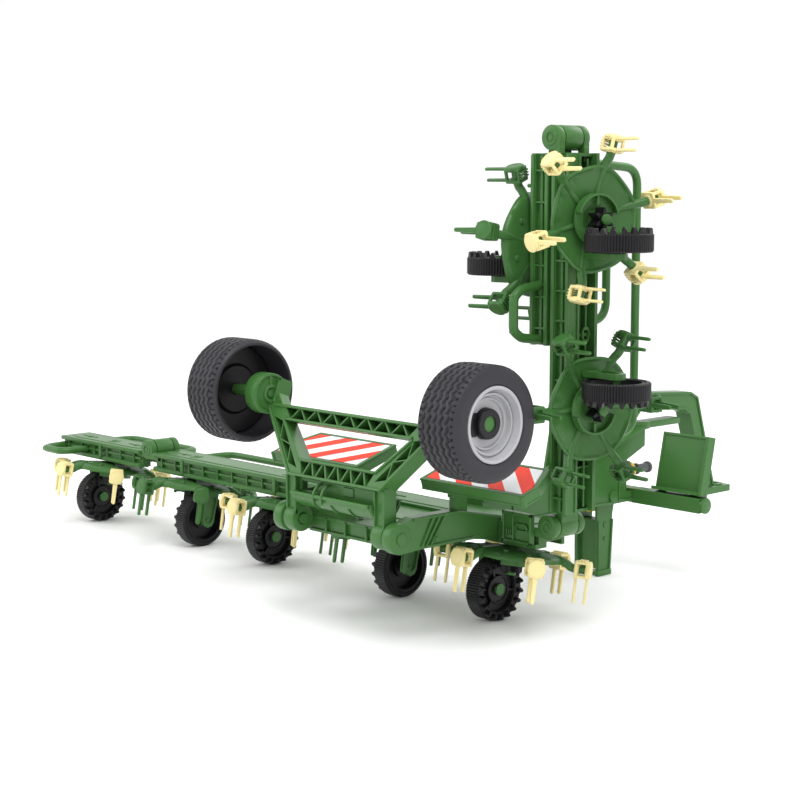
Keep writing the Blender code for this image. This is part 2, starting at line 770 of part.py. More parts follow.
def make_swing():
    half = TRUSS_DEPTH / 2
    floor = half - TRUSS_FLOOR
    top = TOP_BEAM_T0 + TOP_BEAM_H
    # Outer outline of the trapezoid, and the opening in it
    slope = (ARM_TOP_X - BOTTOM_HALF_W) / (AXLE_T - BOTTOM_H)
    outline = [(BOTTOM_HALF_W, 0), (ARM_TOP_X + 2, AXLE_T), (ARM_TOP_X + 2, AXLE_T + 7),
               (ARM_TOP_X - ARM_W, AXLE_T + 7), (ARM_TOP_X - ARM_W - 1, top)]
    outline += [(-x, z) for x, z in reversed(outline)]
    plate = prism(outline, "y", -half, half)
    inner_low = BOTTOM_HALF_W - ARM_W
    inner_high = inner_low + slope * (TOP_BEAM_T0 - BOTTOM_H)
    window = [(-inner_low, BOTTOM_H), (inner_low, BOTTOM_H),
              (inner_high, TOP_BEAM_T0), (-inner_high, TOP_BEAM_T0)]
    plate = cut(plate, [prism(window, "y", -half - 1, half + 1)])
    pockets = zigzag_pockets((-inner_low + 1, 0), (inner_low - 1, 0), BOTTOM_H, 11, floor)
    pockets += zigzag_pockets((-inner_high, TOP_BEAM_T0), (inner_high, TOP_BEAM_T0), TOP_BEAM_H, 15, floor)
    for start, end in (((inner_low + 1.6, 5.0), (inner_high + 2.6, TOP_BEAM_T0 + 2)),):
        side = zigzag_pockets(end, start, ARM_W, 4, floor)
        pockets += side + [copied(shape, MIRROR_X) for shape in side]
    evens = together(pockets[0::2])
    odds = together(pockets[1::2])
    plate = moved(cut(plate, [evens, odds]), truss_matrix())

    axle_at = truss_matrix() @ Vector((0, -AXLE_BACK, AXLE_T))
    pieces = []
    for sign in (-1, 1):
        low, high = sorted((sign * SWING_LEG_X, sign * (SWING_LEG_X + SWING_LEG_W)))
        leg = [(SWING_Y - 2.6, TRUSS_BASE_Z + 2), (SWING_Y - 2.6, SWING_Z)]
        leg += arc((SWING_Y, SWING_Z), SWING_LUG_R, 200, 340, 5)
        leg += [(SWING_Y + 2.6, SWING_Z), (SWING_Y + 2.6, TRUSS_BASE_Z + 2)]
        leg_shape = prism(leg, "x", low, high)
        lug = rod("x", (SWING_Y, SWING_Z), SWING_LUG_R, low + 0.1, high - 0.1, 10)
        bore = rod("x", (SWING_Y, SWING_Z), SWING_PIN_R + RUN, low - 1, high + 1, 10)
        pieces.append(cut(joined(leg_shape, [lug]), [bore]))
        low, high = sorted((sign * (ARM_TOP_X - 3), sign * (ARM_TOP_X + 3)))
        pieces.append(rod("x", (axle_at.y, axle_at.z), BOSS_R, low, high, 12))
        cap_x = BIG_WHEEL_X + 4.2
        low, high = sorted((sign * ARM_TOP_X, sign * (cap_x + 0.6)))
        pieces.append(rod("x", (axle_at.y, axle_at.z), BIG_AXLE_R, low, high, 8))
        low, high = sorted((sign * cap_x, sign * (cap_x + 1.6)))
        pieces.append(rod("x", (axle_at.y, axle_at.z), 3.8, low, high, 10))
    # Trough between the legs, with the plate above it
    centre = (SWING_Y + 2.0, TRUSS_BASE_Z - 3.0)
    outer = arc(centre, 8.0, 195, 350, 8)
    inner = arc(centre, 6.8, 350, 195, 8)
    reach = SWING_LEG_X + 0.6
    pieces.append(prism(outer + inner, "x", -reach, reach))
    back = SWING_Y + 2.0 + 7.4
    pieces.append(box(-reach, reach, SWING_Y - 0.6, back - 2.6, TRUSS_BASE_Z - 1.2, TRUSS_BASE_Z + 0.4))
    shape = joined(plate, pieces)
    pivot = (0, SWING_Y, SWING_Z)
    place("swing_frame", mesh_of(shape, "swing_frame", GREEN, pivot), None, pivot)
    return axle_at


def big_tyre_shape():
    half = BIG_WHEEL_W / 2
    inner = BIG_WHEEL_R - BIG_WALL
    bead = RIM_R + SEAT
    return turned([
        (bead, half), (BIG_WHEEL_R - 2.0, half), (BIG_WHEEL_R, half - 1.8),
        (BIG_WHEEL_R, 1.8 - half), (BIG_WHEEL_R - 1.6, -half), (inner, -half),
        (inner, half - 2.4), (bead, half - 2.4),
    ], BIG_SEGMENTS, "x")


def big_rim_shape():
    half = BIG_WHEEL_W / 2
    bore = BIG_AXLE_R + RUN
    return turned([
        (RIM_R, half - 0.3), (RIM_R - 1.2, half - 0.3), (RIM_R - 2.4, half - 3.2),
        (RIM_R - 5.2, half - 4.0), (RIM_R - 6.4, 3.6), (bore, 3.6),
        (bore, 2.2), (RIM_R - 5.6, 2.2), (RIM_R - 4.4, half - 5.4), (RIM_R, half - 4.0),
    ], 18, "x")


def make_big_wheels(axle_at):
    tyre = mesh_of(big_tyre_shape(), "transport_tyre", TYRE)
    rim = mesh_of(big_rim_shape(), "transport_rim", SILVER)
    for side, sign in (("left", -1), ("right", 1)):
        at = (sign * BIG_WHEEL_X, axle_at.y, axle_at.z)
        turn = Matrix.Translation(Vector(at))
        if sign < 0:
            turn = turn @ Matrix.Rotation(math.pi, 4, "Z")
        place(side + "_transport_tyre", tyre, turn)
        place(side + "_transport_rim", rim, turn)


# Front end

def make_drawbar():
    side = [
        (BEAM_FRONT + SEAT, 31), (BEAM_FRONT + SEAT, 43), (62, 45), (75, 50), (113, 62.5), (113, 54),
        (101, 49), (101, BAR_TOP - 1), (BAR_REAR_Y + 0.5, BAR_TOP - 1), (BAR_REAR_Y + 0.5, 31),
    ]
    wall = DRAWBAR_WALL
    inside = [
        (BEAM_FRONT + SEAT + 3, 30), (BEAM_FRONT + SEAT + 3, 43 - wall), (62, 45 - wall),
        (75, 50 - wall), (111, 62.5 - 2 * wall), (111, 52), (BAR_REAR_Y + 2, 46), (BAR_REAR_Y + 2, 30),
    ]
    channel = cut(
        prism(side, "x", -DRAWBAR_HALF, DRAWBAR_HALF),
        [prism(inside, "x", wall - DRAWBAR_HALF, DRAWBAR_HALF - wall)],
    )
    goose = [
        (106, 58), (106, 74), (109, 76.5), (150, 73.5), (155, 71), (168, 30), (168, 27), (162, 27),
        (162, 30), (150, 64.5), (146, 67), (115, 69.5), (112, 67), (112, 58),
    ]
    tongue = prism([(160, 26), (178, 26), (178, 29), (160, 29)], "x", -6, 6)
    eye = rod("z", (0, 173), 2.4, 25, 30, 10)
    pieces = [
        prism(goose, "x", -GOOSE_HALF, GOOSE_HALF),
        cut(tongue, [eye]),
        box(-BAR_HALF, BAR_HALF, BAR_REAR_Y, BAR_FRONT_Y, BAR_BOTTOM, BAR_TOP),
    ]
    for sign in (-1, 1):
        low, high = sorted((sign * 4.7, sign * (DRAWBAR_HALF - 0.5)))
        pieces.append(rod("x", (STAND_Y, STAND_Z), STAND_PIN_R, low, high, 8))
    place("drawbar", mesh_of(joined(channel, pieces), "drawbar", GREEN))


def make_panels():
    for side, sign in (("left", -1), ("right", 1)):
        plate = box(0, PANEL_W, 0, PANEL_T, 0, PANEL_H)
        flanges = [
            box(PANEL_W - PANEL_T, PANEL_W - 0.02, -PANEL_FLANGE, PANEL_T - 0.2, 0.02, PANEL_H - 0.02),
            box(0.02, PANEL_W - 0.5, -PANEL_FLANGE + 0.02, PANEL_T - 0.3, 0.04, PANEL_T),
        ]
        shape = joined(plate, flanges)
        at = Matrix.Translation(Vector((PANEL_X0, BAR_FRONT_Y - 2, PANEL_Z)))
        lean = at @ Matrix.Rotation(-PANEL_TILT, 4, "X")
        shape = moved(shape, lean)
        if sign < 0:
            shape = moved(shape, MIRROR_X)
        place(side + "_front_panel", mesh_of(shape, side + "_front_panel", GREEN))


def make_stand():
    # outline of a side plate: (y, z)
    outline = [(84, 30), (86, STAND_Z)]
    outline += arc((STAND_Y, STAND_Z), 3.6, 120, 0, 4)
    outline += [(94, 26), (92.4, 1.2), (91.6, 0), (85.4, 0), (84.8, 1.2)]
    inner = 5.0
    pieces = []
    for sign in (-1, 1):
        low, high = sorted((sign * inner, sign * (inner + STAND_PLATE_T)))
        plate = prism(outline, "x", low, high)
        bore = rod("x", (STAND_Y, STAND_Z), STAND_PIN_R + RUN, low - 1, high + 1, 8)
        pieces.append(cut(plate, [bore]))
    reach = inner + 0.3
    web = box(-reach, reach, 86.2, 87.6, 3, 24)
    shelf = box(-reach, reach, 86.4, 92.2, 22.6, 23.9)
    foot = box(-reach, reach, 86, 91, 0.02, 1.4)
    shape = joined(pieces[0], [pieces[1], web, shelf, foot])
    pivot = (0, STAND_Y, STAND_Z)
    place("parking_stand", mesh_of(shape, "parking_stand", GREEN, pivot), None, pivot)


def bell_shape(length, mouth, neck):
    wall = 1.1
    return turned([
        (mouth, 0), (mouth, length * 0.45), (neck, length), (SHAFT_R + RUN, length),
        (SHAFT_R + RUN, length - wall), (neck - wall, length - 1.4 * wall),
        (mouth - wall, length * 0.45), (mouth - wall, 0),
    ], 12, "y")


def make_drive_shaft():
    low_z, high_z = 31.7, 42.3
    path = [(0, BEAM_FRONT + 5, low_z + 3), (0, 60, low_z), (0, 90, low_z), (0, 97, high_z), (0, 126, high_z)]
    place("drive_shaft", mesh_of(tube(path, SHAFT_R, 8), "drive_shaft", GREY))
    # bell: y of its closed end, z, length, mouth radius
    for name, y, z, length, mouth in (("rear_shaft_bell", 89.0, low_z, 8.5, 4.4),
                                      ("front_shaft_bell", 99.5, high_z, 13.0, BELL_R)):
        shape = bell_shape(length, mouth, mouth * 0.7)
        flip = Matrix.Translation(Vector((0, y, z)))
        if name.startswith("rear"):
            flip = flip @ Matrix.Rotation(math.pi, 4, "Z")
        place(name, mesh_of(moved(shape, flip), name, YELLOW))


def make_rotors():
    shape = rotor_shape()
    rotors = {}
    for look in (CREAM, GREEN):
        rotors[look[0]] = mesh_of(shape.copy(), "rotor_" + look[0], GREEN)
        paint_holders(rotors[look[0]], look)
    pinion = mesh_of(pinion_shape(), "pinion", BLACK)
    wheel = mesh_of(wheel_shape(), "rotor_wheel", BLACK)
    for number, section in ROTOR_SECTIONS.items():
        x = rotor_x(number)
        pose = SECTION_POSES[section]
        at = pose @ Matrix.Translation(Vector((x, 0, 0))) @ LEAN
        turn = Matrix.Rotation(math.radians(ROTOR_TURNS[number]), 4, "Z")
        place("rotor_%d" % number, rotors["cream" if number % 2 else "green"], at @ turn)
        place("pinion_%d" % number, pinion, at)
        side = wheel_side(number)
        axle = Matrix.Translation(Vector((x + side * WHEEL_OFFSET, 0, AXLE_Z)))
        if side > 0:
            axle = axle @ Matrix.Rotation(math.pi, 4, "Z")
        place("rotor_wheel_%d" % number, wheel, pose @ axle)


def centre_all():
    """Moves the whole to the middle of its footprint, standing on z = 0."""
    items = list(bpy.context.scene.objects)
    bpy.context.view_layer.update()
    corners = [item.matrix_world @ Vector(c) for item in items for c in item.bound_box]
    low = [min(c[i] for c in corners) for i in range(3)]
    high = [max(c[i] for c in corners) for i in range(3)]
    shift = Vector(((low[0] + high[0]) / 2, (low[1] + high[1]) / 2, low[2]))
    for item in items:
        item.matrix_world = Matrix.Translation(-shift) @ item.matrix_world


clear_scene()
make_centre()
make_wings()
make_guards()
make_boards()
make_big_wheels(make_swing())
make_drawbar()
make_panels()
make_stand()
make_drive_shaft()
make_rotors()
centre_all()
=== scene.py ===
# The looks of the toy hay tedder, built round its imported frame.
# Shapes are drawn in millimetres in the machine's own frame: X right, Y front, Z up,
# the ground at z = 0 and the rotor line at y = 0. TO_ROW carries them into the frame of the model.

import json
import math

import bmesh
import bpy
from mathutils import Matrix, Vector


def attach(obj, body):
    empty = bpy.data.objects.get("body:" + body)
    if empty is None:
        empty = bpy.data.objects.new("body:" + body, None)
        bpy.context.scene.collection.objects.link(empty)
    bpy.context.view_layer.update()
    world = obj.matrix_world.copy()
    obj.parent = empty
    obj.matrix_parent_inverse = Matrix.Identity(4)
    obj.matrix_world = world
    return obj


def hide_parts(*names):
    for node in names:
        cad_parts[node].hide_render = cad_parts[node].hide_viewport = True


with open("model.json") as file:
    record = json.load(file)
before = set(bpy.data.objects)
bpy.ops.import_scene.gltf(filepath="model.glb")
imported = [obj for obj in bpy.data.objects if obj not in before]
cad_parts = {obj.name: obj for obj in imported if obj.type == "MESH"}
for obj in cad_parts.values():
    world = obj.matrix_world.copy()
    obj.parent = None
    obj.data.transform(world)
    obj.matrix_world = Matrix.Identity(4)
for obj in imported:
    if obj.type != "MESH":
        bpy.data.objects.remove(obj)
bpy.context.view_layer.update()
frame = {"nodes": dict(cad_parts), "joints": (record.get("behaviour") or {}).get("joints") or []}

MM = 0.001
JOINTS = {joint["name"]: joint for joint in frame["joints"]}

# Sizes shared with the frame
PITCH = 68.0
ROTOR_COUNT = 8
HINGE_Z = 41.0
INNER_HINGE_X = 57.0
OUTER_HINGE_X = 199.0
BEAM_REAR = -4.0
ARM_Z = 24.7
ARM_END_R = 29.4
CAP_R = 3.5
CAP_T = 1.1
TINE_TIP_Z = 11.7
DISH_R = 19.2
DISH_RIM_Z = 25.6
DISH_SHOULDER_Z = 28.4
DISH_TOP_Z = 30.0
WHEEL_R = 12.4
WHEEL_W = 6.6
WHEEL_OFFSET = 7.9
FINGER_COUNT = 18
FINGER_L = 1.9
AXLE_Z = WHEEL_R * math.cos(math.pi / FINGER_COUNT)
BIG_WHEEL_R = 20.5
BIG_WHEEL_W = 18.5
RIM_R = 13.4

# (y, z) of the swing frame's pivot and of the middle of its trough
SWING_PIVOT = (-55, 40)
TROUGH = (-53, 53)
# Rear and front ends of a wing hinge's middle lug, and of the two lugs that hold it
MIDDLE_LUG = [(-0.65, 8.65)]
FORK_LUGS = [(-4.1, -1.15), (9.15, 12.1)]
# Where the guards meet the beams, and the radius of their tubes
GUARD_FACE_Y = 12.3
GUARD_R = 1.6
# Degrees that the front panels tilt and the board trays slope
PANEL_TILT = 12
TRAY_SLOPE = 17.4

# Faces that meet at less than this many degrees are shaded as one
SMOOTH_BELOW = 32
# Radius that the shading gives to sharp edges, in millimetres
EDGE_ROUNDING = 0.18

# Stripes of the warning boards: sideways run per step to the front, width in metres of a white and a
# red one together, and where the right board's first one starts
STRIPE_LEAN = 1.2
STRIPE_PITCH = 0.0165
STRIPE_START = (27.4, -30, 54)
STRIPE_WHITE = (0.91, 0.91, 0.93, 1)
STRIPE_RED = (0.93, 0.040, 0.012, 1)

# The camera of the photograph: focal length and width in pixels, place in the machine's frame, angles
# in radians
FOCAL_PIXELS = 1724.9
IMAGE_PIXELS = 800
SENSOR_WIDTH = 36.0
CAMERA_PLACE = (476.567, -469.466, 166.351)
CAMERA_YAW = 0.82
CAMERA_PITCH = 0.124389

# The left wing's hinge stands at y = 0 in the machine's frame
HINGE_M = Vector(JOINTS["left_inner_fold"]["pos_m"])
TO_ROW = Matrix.Translation(HINGE_M - Vector((-INNER_HINGE_X, 0, HINGE_Z)) * MM) @ Matrix.Scale(MM, 4)
MIRROR_X = Matrix.Scale(-1, 4, Vector((1, 0, 0)))


def shift(x, y, z):
    return Matrix.Translation(Vector((x, y, z)))


def turn(degrees, axis):
    return Matrix.Rotation(math.radians(degrees), 4, axis)


def hinge_turn(x, degrees):
    return shift(x, 0, HINGE_Z) @ turn(degrees, "Y") @ shift(-x, 0, -HINGE_Z)


# The rotors lean forward about their wheels' axles
LEAN = shift(0, 0, AXLE_Z) @ turn(-180 / FINGER_COUNT, "X") @ shift(0, 0, -AXLE_Z)
RIGHT_INNER_POSE = hinge_turn(INNER_HINGE_X, -90)
POSES = {
    "frame": Matrix(),
    "left_inner_wing": Matrix(),
    "left_outer_wing": Matrix(),
    "right_inner_wing": RIGHT_INNER_POSE,
    "right_outer_wing": RIGHT_INNER_POSE @ hinge_turn(OUTER_HINGE_X, -180),
}
ROTOR_BODIES = {
    1: "left_outer_wing", 2: "left_inner_wing", 3: "left_inner_wing", 4: "frame",
    5: "frame", 6: "right_inner_wing", 7: "right_inner_wing", 8: "right_outer_wing",
}


def rotor_x(number):
    return (number - (ROTOR_COUNT + 1) / 2) * PITCH


# Materials

def plastic(name, colour, roughness, grain=0.02, shade=0.06):
    """Moulded plastic: slight flow shading, a fine grain and softened edges."""
    made = bpy.data.materials.new(name)
    made.use_nodes = True
    nodes = made.node_tree.nodes
    links = made.node_tree.links
    shader = nodes["Principled BSDF"]
    shader.inputs["IOR"].default_value = 1.48
    shader.inputs["Specular IOR Level"].default_value = 0.3
    place = nodes.new("ShaderNodeTexCoord")

    flow = nodes.new("ShaderNodeTexNoise")
    flow.inputs["Scale"].default_value = 45.0
    flow.inputs["Detail"].default_value = 3.0
    links.new(place.outputs["Object"], flow.inputs["Vector"])
    tint = nodes.new("ShaderNodeMix")
    tint.data_type = "RGBA"
    tint.inputs[6].default_value = [c * (1 - shade) for c in colour] + [1]
    tint.inputs[7].default_value = [min(1, c * (1 + shade)) for c in colour] + [1]
    links.new(flow.outputs["Fac"], tint.inputs[0])
    links.new(tint.outputs[2], shader.inputs["Base Color"])

    gloss = nodes.new("ShaderNodeMapRange")
    gloss.inputs["To Min"].default_value = roughness - 0.06
    gloss.inputs["To Max"].default_value = roughness + 0.06
    links.new(flow.outputs["Fac"], gloss.inputs["Value"])
    links.new(gloss.outputs["Result"], shader.inputs["Roughness"])

    fine = nodes.new("ShaderNodeTexNoise")
    fine.inputs["Scale"].default_value = 2600.0
    fine.inputs["Detail"].default_value = 2.0
    links.new(place.outputs["Object"], fine.inputs["Vector"])
    bump = nodes.new("ShaderNodeBump")
    bump.inputs["Strength"].default_value = grain * 5
    bump.inputs["Distance"].default_value = 0.0001
    links.new(fine.outputs["Fac"], bump.inputs["Height"])
    edge = nodes.new("ShaderNodeBevel")
    edge.samples = 4
    edge.inputs["Radius"].default_value = EDGE_ROUNDING * MM
    links.new(edge.outputs["Normal"], bump.inputs["Normal"])
    links.new(bump.outputs["Normal"], shader.inputs["Normal"])
    made.diffuse_color = list(colour) + [1]
    return made


GREEN = plastic("green_plastic", (0.046, 0.143, 0.033), 0.30)
GREEN_SOFT = plastic("green_rotor_plastic", (0.042, 0.132, 0.031), 0.34)
CREAM = plastic("cream_plastic", (0.800, 0.690, 0.330), 0.38, shade=0.04)
YELLOW = plastic("yellow_plastic", (0.960, 0.560, 0.010), 0.32, shade=0.04)
BLACK = plastic("black_plastic", (0.007, 0.0065, 0.008), 0.40, shade=0.12)
TYRE = plastic("tyre_plastic", (0.027, 0.026, 0.031), 0.48, grain=0.05, shade=0.12)
SILVER = plastic("silver_plastic", (0.390, 0.390, 0.405), 0.30, shade=0.05)
GREY = plastic("grey_plastic", (0.090, 0.095, 0.100), 0.45, shade=0.10)
WHITE = plastic("white_plastic", (0.800, 0.800, 0.830), 0.35, shade=0.02)


def stripes(name, sign):
    """White board with red diagonal stripes; sign mirrors them for the left side."""
    made = WHITE.copy()
    made.name = name
    nodes = made.node_tree.nodes
    links = made.node_tree.links
    shader = nodes["Principled BSDF"]
    place = nodes.new("ShaderNodeTexCoord")
    mapping = nodes.new("ShaderNodeMapping")
    x, y, z = STRIPE_START
    origin = TO_ROW @ Vector((sign * x, y, z))
    mapping.inputs["Location"].default_value = -origin
    links.new(place.outputs["Object"], mapping.inputs["Vector"])
    parts = nodes.new("ShaderNodeSeparateXYZ")
    links.new(mapping.outputs["Vector"], parts.inputs[0])
    lean = nodes.new("ShaderNodeMath")
    lean.operation = "MULTIPLY_ADD"
    lean.inputs[1].default_value = sign * STRIPE_LEAN
    links.new(parts.outputs["Y"], lean.inputs[0])
    links.new(parts.outputs["X"], lean.inputs[2])
    scaled = nodes.new("ShaderNodeMath")
    scaled.operation = "MULTIPLY"
    scaled.inputs[1].default_value = 1 / STRIPE_PITCH
    links.new(lean.outputs[0], scaled.inputs[0])
    part = nodes.new("ShaderNodeMath")
    part.operation = "FRACT"
    links.new(scaled.outputs[0], part.inputs[0])
    step = nodes.new("ShaderNodeMath")
    step.operation = "GREATER_THAN"
    step.inputs[1].default_value = 0.5
    links.new(part.outputs[0], step.inputs[0])
    colour = nodes.new("ShaderNodeMix")
    colour.data_type = "RGBA"
    colour.inputs[6].default_value = STRIPE_WHITE
    colour.inputs[7].default_value = STRIPE_RED
    links.new(step.outputs[0], colour.inputs[0])
    links.new(colour.outputs[2], shader.inputs["Base Color"])
    shader.inputs["Specular IOR Level"].default_value = 0.15
    return made


def paint(node, *looks):
    """A material for each of the node's slots, in order."""
    item = frame["nodes"][node]
    for index, slot in enumerate(item.material_slots):
        slot.material = looks[min(index, len(looks) - 1)]


# Shapes, each a bmesh in millimetres

def closed(verts, faces):
    shape = bmesh.new()
    made = [shape.verts.new(v) for v in verts]
    for face in faces:
        shape.faces.new([made[i] for i in face])
    bmesh.ops.recalc_face_normals(shape, faces=shape.faces)
    return shape


def lift(point, axis, height):
    """A flat point at a height along the axis."""
    a, b = point
    if axis == "x":
        return (height, a, b)
    if axis == "y":
        return (a, height, b)
    return (a, b, height)


def prism(outline, axis, low, high):
    """The flat outline drawn out along the axis."""
    count = len(outline)
    verts = [lift(p, axis, low) for p in outline] + [lift(p, axis, high) for p in outline]
    faces = [tuple(range(count)), tuple(range(count, 2 * count))]
    for i in range(count):
        j = (i + 1) % count
        faces.append((i, j, count + j, count + i))
    return closed(verts, faces)


def box(x0, x1, y0, y1, z0, z1):
    return prism([(x0, y0), (x1, y0), (x1, y1), (x0, y1)], "z", z0, z1)


def circle(centre, radius, sides):
    points = []
    for i in range(sides):
        angle = 2 * math.pi * (i + 0.5) / sides
        points.append((centre[0] + radius * math.cos(angle), centre[1] + radius * math.sin(angle)))
    return points


def rod(axis, centre, radius, low, high, sides=24, soft=0.0):
    """A round bar; soft rounds both of its ends by that much."""
    if not soft:
        return prism(circle(centre, radius, sides), axis, low, high)
    profile = [(0.001, low), (radius - soft, low), (radius - 0.3 * soft, low + 0.3 * soft),
               (radius, low + soft), (radius, high - soft),
               (radius - 0.3 * soft, high - 0.3 * soft), (radius - soft, high), (0.001, high)]
    return moved(turned(profile, sides, axis), shift(*lift(centre, axis, 0)))


def arc(centre, radius, start, end, steps):
    """Points along an arc between two angles in degrees."""
    points = []
    for i in range(steps + 1):
        angle = math.radians(start + (end - start) * i / steps)
        points.append((centre[0] + radius * math.cos(angle), centre[1] + radius * math.sin(angle)))
    return points


def ring_faces(segments, count):
    """Faces between rings of count points each; the last ring joins the first."""
    faces = []
    for s in range(segments):
        t = (s + 1) % segments
        for i in range(count):
            j = (i + 1) % count
            faces.append((s * count + i, s * count + j, t * count + j, t * count + i))
    return faces


def turned(profile, segments, axis, wobble=None):
    """A ring turned from a closed profile of (radius, place); wobble(s, i) scales a radius."""
    verts = []
    for s in range(segments):
        angle = 2 * math.pi * (s + 0.5) / segments
        c, n = math.cos(angle), math.sin(angle)
        for i, (radius, place) in enumerate(profile):
            if wobble:
                radius *= wobble(s, i)
            if axis == "z":
                verts.append((radius * c, radius * n, place))
            elif axis == "x":
                verts.append((place, radius * c, radius * n))
            else:
                verts.append((radius * n, place, radius * c))
    return closed(verts, ring_faces(segments, len(profile)))


def spline(points, steps):
    """A smooth path through the points."""
    points = [Vector(p) for p in points]
    path = []
    last = len(points) - 1
    for i in range(last):
        before = points[max(0, i - 1)]
        start, end = points[i], points[i + 1]
        after = points[min(last, i + 2)]
        for s in range(steps):
            t = s / steps
            a = 2 * start
            b = (end - before) * t
            c = (2 * before - 5 * start + 4 * end - after) * t * t
            d = (3 * start - before - 3 * end + after) * t ** 3
            path.append((a + b + c + d) / 2)
    path.append(points[-1])
    return path


def eased(points, radius, steps=5):
    """The path with its corners rounded."""
    points = [Vector(p) for p in points]
    path = [points[0]]
    for before, corner, after in zip(points, points[1:], points[2:]):
        into, away = before - corner, after - corner
        start = corner + into.normalized() * min(radius, into.length * 0.48)
        end = corner + away.normalized() * min(radius, away.length * 0.48)
        for i in range(steps + 1):
            t = i / steps
            path.append(start * (1 - t) ** 2 + corner * 2 * t * (1 - t) + end * t * t)
    path.append(points[-1])
    return path


def tube(path, radius, sides=14):
    """A round bar along the path; radius may be one for each of its points."""
    points = [Vector(p) for p in path]
    radii = radius if isinstance(radius, list) else [radius] * len(points)
    verts = []
    faces = []
    last_side = None
    for i, point in enumerate(points):
        before = (points[i] - points[i - 1]).normalized() if i > 0 else None
        after = (points[i + 1] - points[i]).normalized() if i < len(points) - 1 else None
        along = (before + after).normalized() if before and after else (after or before)
        if last_side is None:
            start = Vector((0, 0, 1)) if abs(along.z) < 0.9 else Vector((0, 1, 0))
            side = along.cross(start).normalized()
        else:
            side = (last_side - along * last_side.dot(along)).normalized()
        last_side = side
        other = along.cross(side)
        for s in range(sides):
            angle = 2 * math.pi * (s + 0.5) / sides
            verts.append(point + (side * math.cos(angle) + other * math.sin(angle)) * radii[i])
    rings = len(points)
    for i in range(rings - 1):
        for s in range(sides):
            t = (s + 1) % sides
            faces.append((i * sides + s, i * sides + t, (i + 1) * sides + t, (i + 1) * sides + s))
    faces.append(tuple(range(sides)))
    faces.append(tuple(range((rings - 1) * sides, rings * sides)))
    return closed(verts, faces)


def moved(shape, matrix):
    bmesh.ops.transform(shape, matrix=matrix, verts=shape.verts)
    if matrix.determinant() < 0:
        bmesh.ops.reverse_faces(shape, faces=shape.faces)
    return shape


def copied(shape, matrix):
    return moved(shape.copy(), matrix)


def together(shapes):
    """One shape of them all; they stay as they are."""
    whole = bmesh.new()
    for shape in shapes:
        part = bpy.data.meshes.new("part")
        shape.to_mesh(part)
        whole.from_mesh(part)
        bpy.data.meshes.remove(part)
    return whole


def bevelled(shape, width, segments=2):
    """The shape with its sharp edges rounded off."""
    edges = [e for e in shape.edges if len(e.link_faces) == 2 and e.calc_face_angle(0) > 0.5]
    bmesh.ops.bevel(shape, geom=edges, offset=width, segments=segments, profile=0.6,
                    affect="EDGES", clamp_overlap=True)
    return shape


def sleeve(axis, centre, bore, radius, low, high):
    """A ring round a pin, its outer corners rounded."""
    profile = [(bore, low), (radius - 0.3, low), (radius - 0.08, low + 0.08), (radius, low + 0.3),
               (radius, high - 0.3), (radius - 0.08, high - 0.08), (radius - 0.3, high), (bore, high)]
    return moved(turned(profile, 48, axis), shift(*lift(centre, axis, 0)))


def band(points, width, axis, low, high):
    """A strip along the path of flat points; a positive width lies to the path's left."""
    points = [Vector(point) for point in points]
    inner = []
    for i, point in enumerate(points):
        before = (points[i] - points[i - 1]).normalized() if i else None
        after = (points[i + 1] - points[i]).normalized() if i < len(points) - 1 else None
        along = (before + after).normalized() if before and after else (after or before)
        inner.append(point + Vector((-along.y, along.x)) * width)
    outline = [tuple(point) for point in points + inner[::-1]]
    return prism(outline, axis, low, high)


def banded(outer, inner, low, high):
    """A flat band along y between two outlines of (x, z) with equal counts."""
    count = len(outer)
    rings = [(x, y, z) for y in (low, high) for x, z in outer]
    rings += [(x, y, z) for y in (low, high) for x, z in inner]
    faces = []
    for i in range(count):
        j = (i + 1) % count
        faces.append((i, j, count + j, count + i))
        faces.append((2 * count + i, 2 * count + j, 3 * count + j, 3 * count + i))
        faces.append((i, j, 2 * count + j, 2 * count + i))
        faces.append((count + i, count + j, 3 * count + j, 3 * count + i))
    return closed(rings, faces)


def both_sides(shapes):
    """The shapes and their mirror images."""
    return shapes + [copied(shape, MIRROR_X) for shape in shapes]


def mesh_of(shape, name, *looks):
    """The shape as a mesh in metres, with its materials."""
    moved(shape, Matrix.Scale(MM, 4))
    mesh = bpy.data.meshes.new(name)
    shape.to_mesh(mesh)
    for look in looks:
        mesh.materials.append(look)
    mesh.shade_smooth()
    mesh.set_sharp_from_angle(angle=math.radians(SMOOTH_BELOW))
    return mesh


def place(name, mesh, matrix, body, slot, *nodes):
    """The mesh at a matrix of the machine's frame, riding on a body in place of the nodes."""
    item = bpy.data.objects.new(name, mesh)
    bpy.context.scene.collection.objects.link(item)
    item.matrix_world = TO_ROW @ matrix @ Matrix.Scale(1 / MM, 4)
    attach(item, body)
    if nodes:
        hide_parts(*nodes)


def add(name, shapes, look, body, slot, *nodes):
    """Shapes drawn in the laid-out machine, on the body's own pose."""
    mesh = mesh_of(together(shapes), name, look)
    place(name, mesh, POSES.get(body, Matrix()), body, slot, *nodes)


def add_pair(ending, shapes, look, slot):
    """Shapes on the right side of the frame, and their mirror image on the left."""
    add("right_" + ending, shapes, look, "frame", slot)
    add("left_" + ending, [moved(shape, MIRROR_X) for shape in shapes], look, "frame", slot)


# Rotors

# Rotor number: how far it has turned, in degrees
ROTOR_TURNS = {1: 0, 2: 0, 3: 0, 4: 0, 5: 0, 6: 0, 7: -15, 8: -12}


